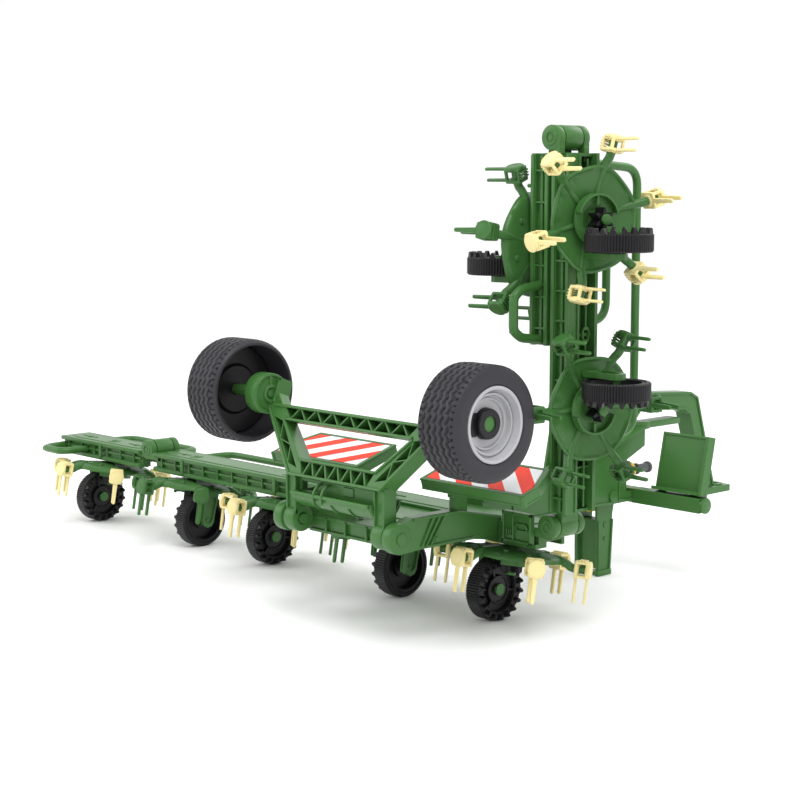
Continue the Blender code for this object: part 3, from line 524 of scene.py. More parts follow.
def dish_shape():
    """A low six-sided hat whose ridges run out to the arms."""
    bore = 1.6
    profile = [
        (bore, DISH_TOP_Z), (5.2, DISH_TOP_Z), (6.0, DISH_TOP_Z - 0.3), (8.5, DISH_TOP_Z - 0.6),
        (13.0, 28.9), (DISH_R - 2.2, DISH_SHOULDER_Z - 0.1), (DISH_R - 0.7, DISH_SHOULDER_Z - 1.0),
        (DISH_R - 0.1, DISH_RIM_Z + 1.0), (DISH_R, DISH_RIM_Z), (DISH_R - 0.9, DISH_RIM_Z),
        (DISH_R - 1.8, DISH_SHOULDER_Z - 1.8), (13.0, 27.5), (8.5, 27.9), (4.6, DISH_TOP_Z - 1.9),
        (3.6, 26.7), (bore, 26.7),
    ]
    count = 90

    def star(s, i):
        # 1 in the middle of an arm's ridge, -1 half way between two arms
        phase = math.cos(math.radians((s + 0.5) * 360 / count - 30) * 6)
        return 1.0 + 0.018 * phase if 3 <= i <= 11 else 1.0

    shape = turned(profile, count, "z", star)
    for vert in shape.verts:
        radius = math.hypot(vert.co.x, vert.co.y)
        if radius < 7 or radius > DISH_R - 1:
            continue
        phase = math.cos((math.atan2(vert.co.y, vert.co.x) - math.radians(30)) * 6)
        vert.co.z -= 0.45 * (1 - phase) / 2 * min(1, (radius - 7) / 5)
    return shape


def rotor_green_shape():
    """The dish with its cap, bosses, ribs and six arms."""
    pieces = [dish_shape()]
    pieces.append(turned([(1.6, 30.5), (3.4, 30.5), (3.8, 30.2), (3.8, 29.2), (1.6, 29.2)], 36, "z"))
    path = spline([
        (4.5, 0, 27.9), (10.0, 0, 27.7), (14.2, 0, 27.7), (DISH_R - 1.2, 0, 27.1), (DISH_R + 1.9, 0, 26.0),
        (22.8, 0, 25.0), (25.4, 0, ARM_Z), (ARM_END_R + 0.3, 0, ARM_Z),
    ], 5)
    arm = tube(path, [1.0 + min(0.6, max(0.0, (point.x - 14.2) / 6)) for point in path], 16)
    for i in range(6):
        pieces.append(copied(arm, turn(60 * i + 30, "Z")))
        boss = rod("z", (0, 0), 1.1, 27.6, 29.0, 18, 0.25)
        pieces.append(moved(boss, turn(60 * i, "Z") @ shift(13.6, 0, 0.1)))
        rib = bevelled(box(6.0, 17.4, -0.5, 0.5, 28.4, 29.9), 0.15)
        for vert in rib.verts:
            vert.co.z -= max(0, vert.co.x - 6.0) * 0.127
        pieces.append(moved(rib, turn(60 * i + 30, "Z")))
    return together(pieces)


def holder_shape():
    """A cage of two square flanges and four rails round the arm's end, with two flat tines."""
    pieces = []
    low, high = ARM_Z - 3.3, ARM_Z + 3.3
    corner = 0.8
    for x in (24.6, 28.85):
        outer = []
        for cy, cz, start in ((1, 1, 0), (-1, 1, 90), (-1, -1, 180), (1, -1, 270)):
            outer += arc((cy * (3.0 - corner), ARM_Z + cz * (3.3 - corner)), corner, start, start + 90, 4)
        pieces.append(bevelled(prism(outer, "x", x, x + 1.1), 0.15, 1))
        # tine below the flange
        tine = [(-0.95, low + 1.0), (0.95, low + 1.0), (0.75, TINE_TIP_Z + 0.4), (0.45, TINE_TIP_Z),
                (-0.45, TINE_TIP_Z), (-0.75, TINE_TIP_Z + 0.4)]
        pieces.append(bevelled(prism(tine, "x", x + 0.05, x + 1.0), 0.18, 1))
        pieces.append(rod("x", (0, ARM_Z), 2.3, x - 0.35, x + 1.45, 20, 0.2))
    for cy, cz in ((1, 1), (-1, 1), (-1, -1), (1, -1)):
        y = cy * 2.35
        z = ARM_Z + cz * 2.65
        pieces.append(bevelled(box(25.0, 29.5, y - 0.55, y + 0.55, z - 0.5, z + 0.5), 0.14, 1))
    for i in range(3):
        x = 26.1 + i * 1.05
        pieces.append(bevelled(box(x, x + 0.55, -2.9, 2.9, high - 0.7, high + 0.45), 0.12, 1))
    pieces.append(rod("x", (0, ARM_Z), CAP_R, ARM_END_R - 0.1, ARM_END_R + CAP_T, 36, 0.3))
    pieces.append(turned([(2.7, ARM_END_R + CAP_T - 0.1), (3.0, ARM_END_R + CAP_T + 0.12),
                          (3.25, ARM_END_R + CAP_T - 0.1)], 36, "x"))
    moved(pieces[-1], shift(0, 0, ARM_Z))
    return together(pieces)


def wheel_detail_shape():
    """A rotor wheel with a finely ribbed tread; its fingers point to +X."""
    half = WHEEL_W / 2
    profile = [
        (WHEEL_R - 3.4, half), (AXLE_Z - 0.45, half), (AXLE_Z, half - 0.45),
        (AXLE_Z, 0.5 - half), (AXLE_Z - 0.5, -half), (WHEEL_R - 1.6, -half),
        (WHEEL_R - 1.9, 0.5 - half), (WHEEL_R - 2.6, 0.5 - half), (WHEEL_R - 2.9, -half + 0.1),
        (WHEEL_R - 3.3, -half + 0.2), (WHEEL_R - 3.9, 0.2), (4.2, 0.3), (3.9, -0.9),
        (1.6, -0.9), (1.6, half - 0.9), (4.7, half - 0.9), (4.9, half - 0.4), (5.3, half - 0.4),
        (5.55, half - 0.7), (5.6, 1.2), (WHEEL_R - 4.0, 1.2), (WHEEL_R - 3.7, half - 0.4),
    ]
    count = 216

    def ribs(s, i):
        return 0.972 if i in (1, 2, 3, 4) and s % 3 == 0 else 1.0

    pieces = [turned(profile, count, "x", ribs)]
    # fingers: (radius, across) corners at the root and at the tip
    root = [(WHEEL_R - 0.6, 1.35), (WHEEL_R - 0.6, -1.35), (WHEEL_R - 3.0, -0.9), (WHEEL_R - 3.0, 0.9)]
    tip = [(WHEEL_R - 0.8, 0.45), (WHEEL_R - 0.8, -0.45), (WHEEL_R - 2.8, -0.40), (WHEEL_R - 2.8, 0.40)]
    for i in range(FINGER_COUNT):
        verts = [(half - 0.2, across, radius) for radius, across in root]
        verts += [(half + FINGER_L, across, radius) for radius, across in tip]
        faces = [(0, 1, 2, 3), (4, 5, 6, 7)]
        faces += [(k, (k + 1) % 4, (k + 1) % 4 + 4, k + 4) for k in range(4)]
        finger = bevelled(closed(verts, faces), 0.18, 1)
        pieces.append(moved(finger, turn(360 / FINGER_COUNT * i, "X")))
    for i in range(3):
        spoke = bevelled(box(1.0, half - 0.7, -0.45, 0.45, 4.8, WHEEL_R - 3.5), 0.12, 1)
        pieces.append(moved(spoke, turn(120 * i + 20, "X")))
    return together(pieces)


def carrier_shape():
    """What shows of a rotor's fixed carrier, with its wheel to the left."""
    guard_rim = arc((0, 0), 9.3, -75, 75, 24) + arc((0, 0), 8.5, 75, -75, 24)
    pieces = [
        turned([(2.0, 25.35), (9.2, 25.35), (9.3, 25.6), (9.3, 26.0), (9.1, 26.2), (2.0, 26.2)], 60, "z"),
        prism(guard_rim, "z", 22.9, 26.1),
        rod("z", (0, 0), 2.0, 18.65, 19.75, 24, 0.25),
        bevelled(box(5.0, 8.8, -0.5, 0.5, 23.6, 25.6), 0.15, 1),
    ]
    return together(pieces)


def make_rotors():
    """Each rotor, its fixed carrier and its wheel, on the pose of their section."""
    carrier = mesh_of(carrier_shape(), "carrier_detail", GREEN)
    green = mesh_of(rotor_green_shape(), "rotor_detail", GREEN_SOFT)
    holders = together([copied(holder_shape(), turn(60 * i + 30, "Z")) for i in range(6)])
    cages = {
        1: mesh_of(holders.copy(), "holders_cream", CREAM),
        0: mesh_of(holders.copy(), "holders_green", GREEN_SOFT),
    }
    wheel = mesh_of(wheel_detail_shape(), "rotor_wheel_detail", BLACK)
    for number, section in ROTOR_BODIES.items():
        x = rotor_x(number)
        pose = POSES[section]
        odd = number % 2
        body = "rotor_%d" % number
        slot = "rotor_cream" if odd else "rotor_green"
        at = pose @ shift(x, 0, 0) @ LEAN @ turn(ROTOR_TURNS[number], "Z")
        place(body + "_dish", green, at, body, slot, body)
        place(body + "_holders", cages[odd], at, body, slot)
        side = -1 if odd else 1
        axle = pose @ shift(x + side * WHEEL_OFFSET, 0, AXLE_Z)
        if side > 0:
            axle = axle @ turn(180, "Z")
        under = pose @ shift(x, 0, 0) @ LEAN
        if side > 0:
            under = under @ turn(180, "Z")
        place("carrier_%d_detail" % number, carrier, under, section, "frame_green")
        name = "rotor_wheel_%d" % number
        place(name + "_detail", wheel, axle, name, "black_plastic", name)


# Transport wheels

def tyre_shape():
    """The tyre with five zigzag grooves and shoulder slots, its outer side at +X."""
    half = BIG_WHEEL_W / 2
    around = 288
    across = 40
    rows = [half - 1.6 - (BIG_WHEEL_W - 3.0) * (i / across) for i in range(across + 1)]
    side_out = [(RIM_R + 0.3, half - 2.4), (RIM_R + 0.3, half - 0.5), (RIM_R + 0.9, half), (17.0, half),
                (18.8, half - 0.2), (BIG_WHEEL_R - 0.5, half - 1.0)]
    side_in = [(BIG_WHEEL_R - 0.5, 0.8 - half), (19.2, -half), (18.3, -half), (18.1, 0.4 - half),
               (18.1, half - 2.4)]
    profile = [(r, x, False) for r, x in side_out] + [(BIG_WHEEL_R, x, True) for x in rows]
    profile += [(r, x, False) for r, x in side_in]
    grooves = (-5.8, -2.9, 0.0, 2.9, 5.8)
    zigzags = 36
    slots = 54
    deepest = 0.95

    def depth(x, angle):
        deep = 0.0
        wave = abs((angle * zigzags / (2 * math.pi)) % 1.0 - 0.5) * 4 - 1
        for g in grooves:
            distance = abs(x - (g + 0.55 * wave))
            deep = max(deep, min(1.0, max(0.0, (0.62 - distance) / 0.22)))
        if x > 7.0 or x < -7.0:
            slot = abs((angle * slots / (2 * math.pi)) % 1.0 - 0.5)
            deep = max(deep, 0.8 * min(1.0, max(0.0, (0.16 - slot) / 0.05)))
        return deepest * deep

    verts = []
    for s in range(around):
        angle = 2 * math.pi * (s + 0.5) / around
        c, n = math.cos(angle), math.sin(angle)
        for radius, x, tread in profile:
            r = radius
            if tread:
                crown = max(0.0, abs(x) - 5.5)
                r = radius - depth(x, angle) - 0.035 * crown * crown
            verts.append((x, r * c, r * n))
    return closed(verts, ring_faces(around, len(profile)))


def rim_shapes():
    """The silver rim, and the black back and hub behind it, their outer sides at +X."""
    half = BIG_WHEEL_W / 2
    rim = turned([
        (RIM_R, half - 0.3), (RIM_R - 0.5, half - 0.05), (RIM_R - 1.2, half - 0.3),
        (RIM_R - 1.7, half - 2.4), (RIM_R - 2.0, half - 3.4), (RIM_R - 2.5, half - 3.5),
        (RIM_R - 2.6, half - 2.7), (RIM_R - 3.3, half - 2.7), (RIM_R - 3.6, half - 4.6),
        (RIM_R - 4.2, half - 5.0), (RIM_R - 4.4, half - 4.4), (RIM_R - 5.0, half - 4.4),
        (RIM_R - 5.3, 4.0), (5.5, 3.7), (5.5, 2.5), (RIM_R - 4.0, 2.5),
        (RIM_R - 3.0, half - 5.6), (RIM_R - 0.6, half - 4.4), (RIM_R, half - 4.0),
    ], 96, "x")
    # the black back of the rim, and its hub round the green end of the axle
    dark = turned([
        (5.45, 3.3), (5.4, 5.4), (5.2, 6.1), (5.0, 6.3), (2.75, 6.35), (2.75, 6.0),
        (4.1, 5.95), (4.1, 3.7), (2.5, 3.6),
        (2.5, 2.2), (RIM_R - 4.2, 2.2), (RIM_R - 3.2, half - 6.0), (RIM_R + 4.0, half - 6.6),
        (RIM_R + 4.2, half - 5.8), (RIM_R - 3.4, half - 5.2), (RIM_R - 4.3, 2.35), (5.45, 2.35),
    ], 96, "x")
    block = bevelled(box(3.4, 4.35, -7.6, -4.6, -4.1, 4.1), 0.2)
    dark = together([dark, block])
    return rim, dark


def make_transport_wheels():
    """A detailed tyre and rim on each transport wheel's axle."""
    tyre = mesh_of(tyre_shape(), "tyre_detail", TYRE)
    rim_shape, dark_shape = rim_shapes()
    rim = mesh_of(rim_shape, "rim_detail", SILVER)
    dark = mesh_of(dark_shape, "rim_back", BLACK)
    for side, sign in (("left", -1), ("right", 1)):
        body = side + "_transport_wheel"
        axle_m = Vector(JOINTS[body + "_spin"]["pos_m"])
        at = TO_ROW.inverted() @ Matrix.Translation(axle_m) @ Matrix.Scale(MM, 4)
        if sign < 0:
            at = at @ turn(180, "Z")
        place(side + "_tyre_detail", tyre, at, body, "tyre_plastic", side + "_transport_tyre")
        place(side + "_rim_detail", rim, at, body, "rim_silver", side + "_transport_rim")
        place(side + "_rim_back", dark, at, body, "black_plastic")


# Frame details: they sit on the faces of the frame's pieces

def lug_covers(x, toward, ends):
    """Round covers over the lugs of a wing hinge, with a screw recess at the rear."""
    pieces = []
    for y0, y1 in ends:
        if len(ends) == 1:
            pieces.append(sleeve("y", (x, HINGE_Z), 1.95, 4.56, y0, y1))
        else:
            pieces.append(rod("y", (x, HINGE_Z), 4.56, y0, y1, 48, 0.3))
        low, high = sorted((x + toward * 3.2, x + toward * 9.0))
        pieces.append(bevelled(box(low, high, y0 + 0.3, y1 - 0.3, 36.6, 40.1), 0.2, 1))
    rear = ends[0][0]
    if rear < BEAM_REAR + 1:
        profile = [(1.9, rear + 0.2), (1.9, rear - 0.35), (2.7, rear - 0.35), (2.9, rear + 0.2)]
        ring = turned(profile, 40, "y")
        pieces.append(moved(ring, shift(x, 0, HINGE_Z)))
        pieces.append(rod("y", (x, HINGE_Z), 1.0, rear - 0.2, rear + 0.2, 20))
    return pieces


def beam_trim(x0, x1, rotors):
    """Flanges, groove ribs, the raised top plate, bosses over the rotors' x, and the rod with its ring."""
    rear = BEAM_REAR
    pieces = [
        bevelled(box(x0, x1, rear - 0.55, rear + 0.4, 38.5, 40.15), 0.2),
        bevelled(box(x0, x1, rear - 0.55, rear + 0.4, 31.7, 33.2), 0.2),
        bevelled(box(x0 + 0.4, x1 - 0.4, -3.2, -2.1, 35.3, 36.5), 0.2),
        bevelled(box(x0 + 0.2, x1 - 0.2, 11.6, 12.25, 38.7, 40.1), 0.15),
        bevelled(box(x0 + 0.2, x1 - 0.2, 0.4, 1.3, 31.2, 32.0), 0.15),
    ]
    count = round((x1 - x0) / 11)
    for i in range(count):
        x = x0 + (x1 - x0) * (i + 0.5) / count
        pieces.append(bevelled(box(x - 0.4, x + 0.4, -3.7, -2.1, 33.1, 38.6), 0.1, 1))
        if i % 3 == 1:
            pieces.append(bevelled(box(x - 0.35, x + 0.35, 2.1, 10.5, 33.6, 38.5), 0.1, 1))
    top = [(x0 + 1, 1.6), (x0 + 9, -1.4), (x1 - 9, -1.4), (x1 - 1, 1.6), (x1 - 1, 6.4), (x1 - 9, 9.4),
           (x0 + 9, 9.4), (x0 + 1, 6.4)]
    pieces.append(bevelled(prism(top, "z", 39.8, 40.3), 0.2, 1))
    for x in (x0 + 14, x1 - 14):
        pieces.append(rod("z", (x, 4.0), 1.5, 40.2, 40.7, 24, 0.2))
        pieces.append(bevelled(box(x - 6, x + 6, 3.4, 4.6, 40.1, 40.6), 0.15, 1))
    for x in rotors:
        pieces.append(bevelled(box(x - 1.0, x + 1.0, -4.95, -4.0, 32.0, 39.6), 0.25))
        pieces.append(rod("z", (x, 4.0), 3.2, 39.8, 40.55, 36, 0.2))
        pieces.append(rod("z", (x, 4.0), 1.3, 40.4, 40.8, 20, 0.15))
    middle = (x0 + x1) / 2
    pieces.append(rod("x", (7.2, 33.4), 0.42, x0 + 1.5, middle - 1.7, 12))
    pieces.append(rod("x", (7.2, 33.4), 0.42, middle + 1.7, x1 - 1.5, 12))
    ring = turned([(1.4, 33.0), (1.4, 33.9), (2.1, 33.9), (2.1, 33.0)], 32, "z")
    for vert in ring.verts:
        vert.co.x *= 1.5
    pieces.append(moved(ring, shift(middle, 7.2, 0)))
    return pieces


def guard(x0, x1, out_y):
    """A smooth loop of tube that reaches out to out_y; x0 and x1 are where it meets the beam."""
    step = math.copysign(1.8, x1 - x0)
    flat = [(x0, GUARD_FACE_Y), (x0 + step, out_y), (x1 - step, out_y), (x1, GUARD_FACE_Y)]
    return tube(eased([(x, y, 35.5) for x, y in flat], 7.0, 8), GUARD_R, 20)


def on_side(sign, shapes):
    """The shapes as drawn for the right, or mirrored for the left."""
    return shapes if sign > 0 else [moved(shape, MIRROR_X) for shape in shapes]


def make_wing_details():
    """Trim, hinge covers, guards and the rear handle of the four wing sections."""
    for side, sign in (("left", -1), ("right", 1)):
        inner = beam_trim(63.0, 193.0, (102.0, 170.0))
        inner += lug_covers(INNER_HINGE_X, 1, MIDDLE_LUG)
        inner += lug_covers(OUTER_HINGE_X, -1, FORK_LUGS)
        outer = beam_trim(205.0, 273.5, (238.0,))
        outer += lug_covers(OUTER_HINGE_X, 1, MIDDLE_LUG)
        handle = [(252, -3, 35.5), (253.2, -13, 35.5), (256, -17, 35.5), (268, -17, 35.5),
                  (270.8, -13, 35.5), (272, -3, 35.5)]
        outer.append(tube(eased(handle, 1.6, 3), 1.75, 20))
        for part, trim in (("_inner", inner), ("_outer", outer)):
            section = side + part
            add(section + "_beam_trim", on_side(sign, trim), GREEN, section + "_wing", "frame_green")
        for part, loop in (("_inner", guard(88, 190, 38)), ("_outer", guard(208, 268, 34))):
            section = side + part
            name = section + "_guard"
            add(name + "_tube", on_side(sign, [loop]), GREEN, section + "_wing", "frame_green", name)


def make_centre_details():
    """Trim of the middle beam, the rear arms, the slotted plates and the rear bar."""
    pieces = beam_trim(-47.5, 47.5, (-34.0, 34.0))
    half = lug_covers(INNER_HINGE_X, -1, FORK_LUGS)
    # rear arms: round ends, raised edges, a fan of ribs and a pin
    half.append(rod("x", SWING_PIVOT, 5.66, 28.55, 33.05, 48, 0.3))
    half.append(rod("x", SWING_PIVOT, 2.4, 32.9, 33.7, 32, 0.25))
    edge = [(-49, 46.9), (-26, 46.9), (-3.5, 41.8), (-3.5, 40.8), (-26, 45.9), (-49, 45.9)]
    half.append(bevelled(prism(edge, "x", 32.6, 33.7), 0.15, 1))
    edge = [(-42.5, 36.2), (-18, 36.2), (-18, 35.1), (-42.5, 35.1)]
    half.append(bevelled(prism(edge, "x", 32.6, 33.7), 0.15, 1))
    for foot in (-45.6, -43.4, -41.2):
        rib = [(foot, 36.0), (foot + 0.9, 36.0), (foot * 1.35 + 22.6, 46.0), (foot * 1.35 + 21.6, 46.0)]
        half.append(bevelled(prism(rib, "x", 32.7, 33.8), 0.15, 1))
    half.append(rod("x", (-38.0, 38.0), 0.9, 32.8, 34.2, 20, 0.15))
    # plate with an oval slot on the beam's rear face
    half.append(bevelled(box(36.2, 50.8, -5.2, -3.9, 33.4, 45.0), 0.2, 1))
    for x0, x1, z0, z1 in ((36.2, 50.8, 43.8, 45.0), (36.2, 50.8, 33.4, 34.4), (36.2, 37.2, 33.4, 45.0),
                           (49.8, 50.8, 33.4, 45.0), (41.3, 42.1, 33.4, 45.0)):
        half.append(bevelled(box(x0, x1, -6.3, -5.0, z0, z1), 0.2, 1))
    outer = arc((43.9, 39.4), 1.5, 90, 270, 10) + arc((47.6, 39.4), 1.5, -90, 90, 10)
    inner = arc((43.9, 39.4), 0.95, 90, 270, 10) + arc((47.6, 39.4), 0.95, -90, 90, 10)
    half.append(banded(outer, inner, -6.0, -5.1))
    for x in (37.9, 39.0, 40.1):
        half.append(bevelled(box(x, x + 0.6, -5.9, -5.1, 36.0, 38.4), 0.12, 1))
    # bracket under the board
    half.append(bevelled(box(29.2, 32.4, -28.2, -20.6, 51.6, 53.2), 0.2, 1))
    pieces += both_sides(half)
    # struts and edge strips on the rear bar
    for x in (-17.0, -6.0, 6.0, 17.0):
        pieces.append(bevelled(box(x - 0.5, x + 0.5, -48.0, -46.3, 34.2, 39.6), 0.15, 1))
    pieces.append(bevelled(box(-27, 27, -47.4, -46.4, 38.9, 40.2), 0.15, 1))
    pieces.append(bevelled(box(-27, 27, -47.4, -46.4, 33.6, 34.8), 0.15, 1))
    add("centre_frame_trim", pieces, GREEN, "frame", "frame_green")


def make_swing_details():
    """Trim of the truss, the wheels' hubs, the legs, the trough and the wall behind it."""
    # the truss is drawn flat, then tilted back
    truss = shift(0, -56, 56) @ turn(-20, "X")
    flat = [
        bevelled(box(-44, 44, -3.9, -3.0, 25.2, 26.3), 0.2, 1),
        bevelled(box(-35.6, 35.6, -3.9, -3.0, 20.3, 21.3), 0.2, 1),
        bevelled(box(-21.2, 21.2, -3.9, -3.0, 5.8, 6.8), 0.2, 1),
        bevelled(box(-26.2, 26.2, -3.9, -3.0, -0.2, 0.9), 0.2, 1),
    ]
    half = [
        bevelled(band([(26.1, 0), (52.1, 29.5)], 1.1, "y", -3.9, -3.0), 0.2, 1),
        bevelled(band([(35.6, 20.5), (21.0, 6.6)], 1.0, "y", -3.9, -3.0), 0.2, 1),
        bevelled(prism([(45.3, 25.9), (39.8, 25.9), (45.3, 31.5)], "y", -2.6, 2.6), 0.25, 1),
        bevelled(box(44.6, 51.6, -3.8, -3.0, 35.3, 36.4), 0.2, 1),
        bevelled(box(44.6, 45.6, -3.8, -3.0, 26.5, 36.4), 0.2, 1),
        rod("y", (48.4, 31.6), 1.9, -4.7, -3.0, 28, 0.3),
        bevelled(box(48.1, 48.7, -5.0, -4.4, 30.2, 33.0), 0.1, 1),
    ]
    pieces = [moved(shape, truss) for shape in flat + both_sides(half)]
    # hubs of the transport wheels
    hub = truss @ Vector((0, -4.6, 29.5))
    half = [rod("x", (hub.y, hub.z), 8.08, 46.9, 53.1, 60, 0.3)]
    for inner, outer, x in ((6.9, 8.0, 46.2), (2.4, 3.6, 45.9), (0.1, 1.5, 46.3)):
        ring = turned([(inner, 47.2), (inner, x + 0.15), (inner + 0.15, x), (outer - 0.15, x),
                       (outer, x + 0.15), (outer, 47.2)], 48, "x")
        half.append(moved(ring, shift(0, hub.y, hub.z)))
    half.append(bevelled(box(46.3, 47.2, hub.y - 0.5, hub.y + 0.5, hub.z - 7.2, hub.z - 3.0), 0.1, 1))
    half.append(bevelled(box(46.3, 47.2, hub.y - 0.5, hub.y + 0.5, hub.z + 3.0, hub.z + 7.2), 0.1, 1))
    half.append(rod("x", (hub.y, hub.z), 2.26, 52.9, 70.1, 32))
    # legs: a flange down each edge, a round end, and the ends of the trough
    for x in (21.9, 26.8):
        half.append(bevelled(box(x, x + 0.9, -58.6, -57.4, 42.0, 56.6), 0.2, 1))
    half.append(sleeve("x", SWING_PIVOT, 2.35, 5.07, 21.9, 27.7))
    lip = arc(TROUGH, 8.05, 192, 352, 24)
    half.append(bevelled(prism(lip, "x", 20.9, 21.9), 0.15, 1))
    pieces += both_sides(half)
    shell = arc(TROUGH, 8.08, 194, 351, 40) + arc(TROUGH, 6.7, 351, 194, 40)
    pieces.append(prism(shell, "x", -21.8, 21.8))
    pieces.append(rod("x", (-60.7, 50.9), 0.75, -21.8, 21.8, 16))
    # wall behind the trough, with a hole at the left
    for x0, x1, z0, z1 in ((-22.2, -20.4, 46.9, 56.2), (-20.6, -11.4, 46.9, 51.4),
                           (-20.6, -11.4, 55.0, 56.2), (-11.6, 22.2, 46.9, 56.2)):
        pieces.append(bevelled(box(x0, x1, -56.6, -55.5, z0, z1), 0.12, 1))
    pieces.append(bevelled(box(4.0, 9.4, -57.1, -56.3, 52.2, 55.6), 0.2, 1))
    for x in (-8.4, -3.8):
        hook = arc((-56.4, 50.4), 5.3, 82, 205, 20) + arc((-56.4, 50.4), 4.3, 205, 82, 20)
        pieces.append(bevelled(prism(hook, "x", x - 0.45, x + 0.45), 0.12, 1))
    for x in (-10.0, 0.0, 10.0):
        rib = arc(TROUGH, 8.6, 215, 330, 16) + arc(TROUGH, 7.9, 330, 215, 16)
        pieces.append(prism(rib, "x", x - 0.4, x + 0.4))
    add("swing_frame_trim", pieces, GREEN, "swing_frame", "frame_green")


# Front end

def make_front_details():
    """Trim of the drawbar and the front panels; the drive shaft and its bells."""
    goose_top = [(105.6, 74.4), (108.9, 77.0), (150.1, 74.0), (155.4, 71.3), (168.5, 30)]
    goose_low = [(111.6, 66.4), (114.9, 69.6), (146.2, 67.2), (150.4, 64.6), (162.4, 30)]
    pieces = [
        band(goose_top, -1.1, "x", -4.1, 4.1),
        band(goose_low, -0.9, "x", -4.1, 4.1),
        bevelled(box(-3.7, 3.7, 108, 143, 60.4, 63.2), 0.4),
        rod("z", (0, 118), 5.2, 60.3, 63.3, 40, 0.4),
        turned([(2.5, 25.6), (4.2, 25.6), (4.4, 25.8), (4.4, 29.5), (2.5, 29.5)], 40, "z"),
    ]
    moved(pieces[-1], shift(0, 173, 0))
    half = [
        band([(12.5, 43.2), (62, 45.2), (75, 50.2), (113.2, 62.7)], -1.3, "x", 7.8, 8.7),
        bevelled(box(7.8, 8.7, 12.5, 105, 30.9, 32.1), 0.2, 1),
        rod("x", (92, 34), 2.6, 7.8, 9.0, 32, 0.25),
        rod("x", (107.75, 33), 3.3, 43.8, 45.6, 40, 0.3),
        bevelled(box(8, 44, 104.8, 110.7, 35.1, 36.15), 0.25, 1),
        bevelled(box(8, 44, 104.6, 105.6, 29.9, 36.1), 0.2, 1),
    ]
    for y in (30, 52, 74, 96):
        half.append(bevelled(box(7.9, 8.5, y - 0.5, y + 0.5, 31.5, 43.0), 0.15, 1))
    for x in (21.0, 38.0):
        half.append(rod("x", (109.3, 36.9), 1.0, x - 1.6, x + 1.6, 24, 0.15))
    pieces += both_sides(half)
    add("drawbar_trim", pieces, GREEN, "frame", "frame_green")

    # front panels: a raised edge round the rear face
    foot_z = 36.3 + 1.4 * math.sin(math.radians(PANEL_TILT))
    lean = shift(18.0, 108.5, foot_z) @ turn(-PANEL_TILT, "X")
    edge = [
        bevelled(box(0.1, 26.0, -0.5, 0.2, 23.9, 25.1), 0.2, 1),
        bevelled(box(-0.1, 1.0, -0.5, 0.2, 0.3, 25.0), 0.2, 1),
        bevelled(box(24.5, 26.2, -3.6, -2.9, 0.2, 25.0), 0.2, 1),
        bevelled(box(0.1, 26.0, -0.5, 0.2, 0.2, 1.2), 0.2, 1),
    ]
    add_pair("panel_trim", [moved(shape, lean) for shape in edge], GREEN, "panel_green")

    shaft = [(0, 17, 34.7), (0, 60, 31.7), (0, 90, 31.7), (0, 97, 42.3), (0, 126, 42.3)]
    pieces = [tube(eased(shaft, 3.0, 5), 1.9, 24)]
    for y, z in ((66, 31.7), (78, 31.7), (116, 42.3), (124, 42.3)):
        pieces.append(rod("y", (0, z), 2.5, y, y + 1.6, 32, 0.25))
    add("drive_shaft_tube", pieces, GREY, "frame", "shaft_grey", "drive_shaft")
    # bell: y of its mouth, z, direction, length, mouth radius
    for name, y, z, way, length, mouth in (("rear_shaft_bell", 89.0, 31.7, -1, 8.5, 4.4),
                                           ("front_shaft_bell", 99.5, 42.3, 1, 13.0, 5.6)):
        neck = mouth * 0.7
        profile = [
            (mouth, 0), (mouth + 0.15, 0.3), (mouth + 0.15, 1.1), (mouth, 1.4), (mouth, length * 0.42),
            (mouth - 0.25, length * 0.5), (neck + 0.2, length * 0.93), (neck, length - 0.2),
            (neck - 0.2, length), (2.2, length), (2.2, length - 1.1), (neck - 1.1, length - 1.5),
            (mouth - 1.1, length * 0.45), (mouth - 1.1, 0),
        ]
        bell = turned([(r, way * along) for r, along in profile], 48, "y")
        add(name + "_smooth", [moved(bell, shift(0, y, z))], YELLOW, "frame", "shaft_yellow", name)


def make_stand_details():
    """Flanges, foot, pivot rings and cross pin of the parking stand."""
    half = [
        band([(84.4, 24), (84.9, 1.0)], 0.9, "x", 6.1, 6.8),
        band([(94.1, 24), (92.5, 1.0)], -0.9, "x", 6.1, 6.8),
        bevelled(box(4.6, 7.0, 84.3, 93.1, 0.06, 2.6), 0.5),
        sleeve("x", (92, 34), 1.65, 3.66, 4.95, 6.28),
        rod("x", (89.2, 16), 0.9, 6.1, 6.6, 20, 0.1),
    ]
    pieces = both_sides(half)
    pieces.append(rod("x", (89.4, 22.0), 1.3, -6.5, 6.5, 24))
    add("stand_trim", pieces, GREEN, "parking_stand", "frame_green")


def make_tray_details():
    """A rolled lip round each board tray, and ribs under it."""
    slope = shift(18.0, -30.0, 53.5) @ turn(TRAY_SLOPE, "X")
    lip = [(0.05, 0.05), (51.95, 0.05), (51.95, 8.6), (45.6, 21.95), (0.05, 21.95), (0.05, 0.05)]
    pieces = [moved(tube([(x, y, 4.0) for x, y in lip], 0.42, 10), slope)]
    pieces.append(moved(tube([(x, y, 0.35) for x, y in lip[:3]], 0.42, 10), slope))
    pieces.append(moved(rod("z", (51.6, 0.4), 1.0, 0.0, 4.3, 24, 0.2), slope))
    for x in (12.0, 26.0, 40.0):
        pieces.append(moved(bevelled(box(x, x + 1.0, 1.0, 20.0, -0.8, 0.2), 0.15, 1), slope))
    add_pair("tray_trim", pieces, GREEN, "panel_green")


# Floor, light and camera

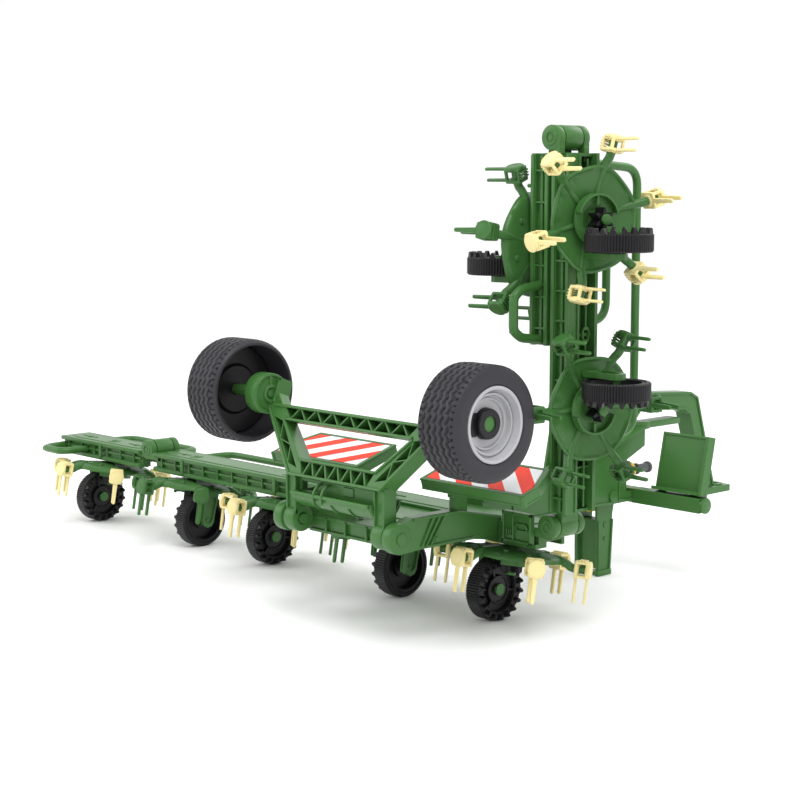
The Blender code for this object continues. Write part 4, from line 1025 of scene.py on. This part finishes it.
def soft_light(name, location, target, size, power):
    """A round soft light aimed at the target."""
    data = bpy.data.lights.new(name, "AREA")
    data.shape = "DISK"
    data.size = size
    data.energy = power
    item = bpy.data.objects.new(name, data)
    bpy.context.scene.collection.objects.link(item)
    item.location = location
    aim = Vector(target) - Vector(location)
    item.rotation_euler = aim.to_track_quat("-Z", "Y").to_euler()


def make_stage():
    """A pale floor, a white surround and three soft lights."""
    look = bpy.data.materials.new("studio_floor")
    look.use_nodes = True
    shader = look.node_tree.nodes["Principled BSDF"]
    shader.inputs["Base Color"].default_value = (0.97, 0.97, 0.97, 1)
    shader.inputs["Roughness"].default_value = 0.75
    shape = bmesh.new()
    bmesh.ops.create_grid(shape, x_segments=1, y_segments=1, size=6.0)
    mesh = bpy.data.meshes.new("studio_floor")
    shape.to_mesh(mesh)
    mesh.materials.append(look)
    floor = bpy.data.objects.new("studio_floor", mesh)
    floor.location = (0, 0, -0.00005)
    bpy.context.scene.collection.objects.link(floor)

    world = bpy.data.worlds.new("studio")
    bpy.context.scene.world = world
    world.use_nodes = True
    back = world.node_tree.nodes["Background"]
    back.inputs["Color"].default_value = (1, 1, 1, 1)
    back.inputs["Strength"].default_value = 1.03
    bpy.context.scene.view_settings.view_transform = "Standard"
    middle = (0.0, 0.0, 0.05)
    soft_light("key", (0.55, -0.35, 1.1), middle, 0.7, 8.0)
    soft_light("left_fill", (-0.9, -0.8, 0.7), middle, 0.9, 3.5)
    soft_light("rear_rim", (0.1, 1.2, 0.9), middle, 0.8, 3.0)


def make_camera():
    """The camera at the photograph's angle."""
    data = bpy.data.cameras.new("camera")
    data.sensor_fit = "HORIZONTAL"
    data.sensor_width = SENSOR_WIDTH
    data.lens = FOCAL_PIXELS / IMAGE_PIXELS * SENSOR_WIDTH
    data.clip_start = 0.01
    camera = bpy.data.objects.new("camera", data)
    bpy.context.scene.collection.objects.link(camera)
    level = math.cos(CAMERA_PITCH)
    forward = Vector((-math.sin(CAMERA_YAW) * level, math.cos(CAMERA_YAW) * level, -math.sin(CAMERA_PITCH)))
    camera.location = TO_ROW @ Vector(CAMERA_PLACE)
    camera.rotation_euler = forward.to_track_quat("-Z", "Y").to_euler()
    bpy.context.scene.camera = camera


def paint_frame():
    """A look for every solid of the frame."""
    for node in frame["nodes"]:
        if node.startswith("pinion") or node.startswith("rotor_wheel"):
            paint(node, BLACK)
        elif "bell" in node:
            paint(node, YELLOW)
        elif node == "drive_shaft":
            paint(node, GREY)
        elif node.startswith("rotor_"):
            paint(node, GREEN_SOFT, CREAM if int(node[-1]) % 2 else GREEN_SOFT)
        else:
            paint(node, GREEN)
    paint("left_warning_board", stripes("left_stripes", -1))
    paint("right_warning_board", stripes("right_stripes", 1))


make_stage()
make_camera()
paint_frame()
make_rotors()
make_transport_wheels()
make_wing_details()
make_centre_details()
make_swing_details()
make_front_details()
make_stand_details()
make_tray_details()
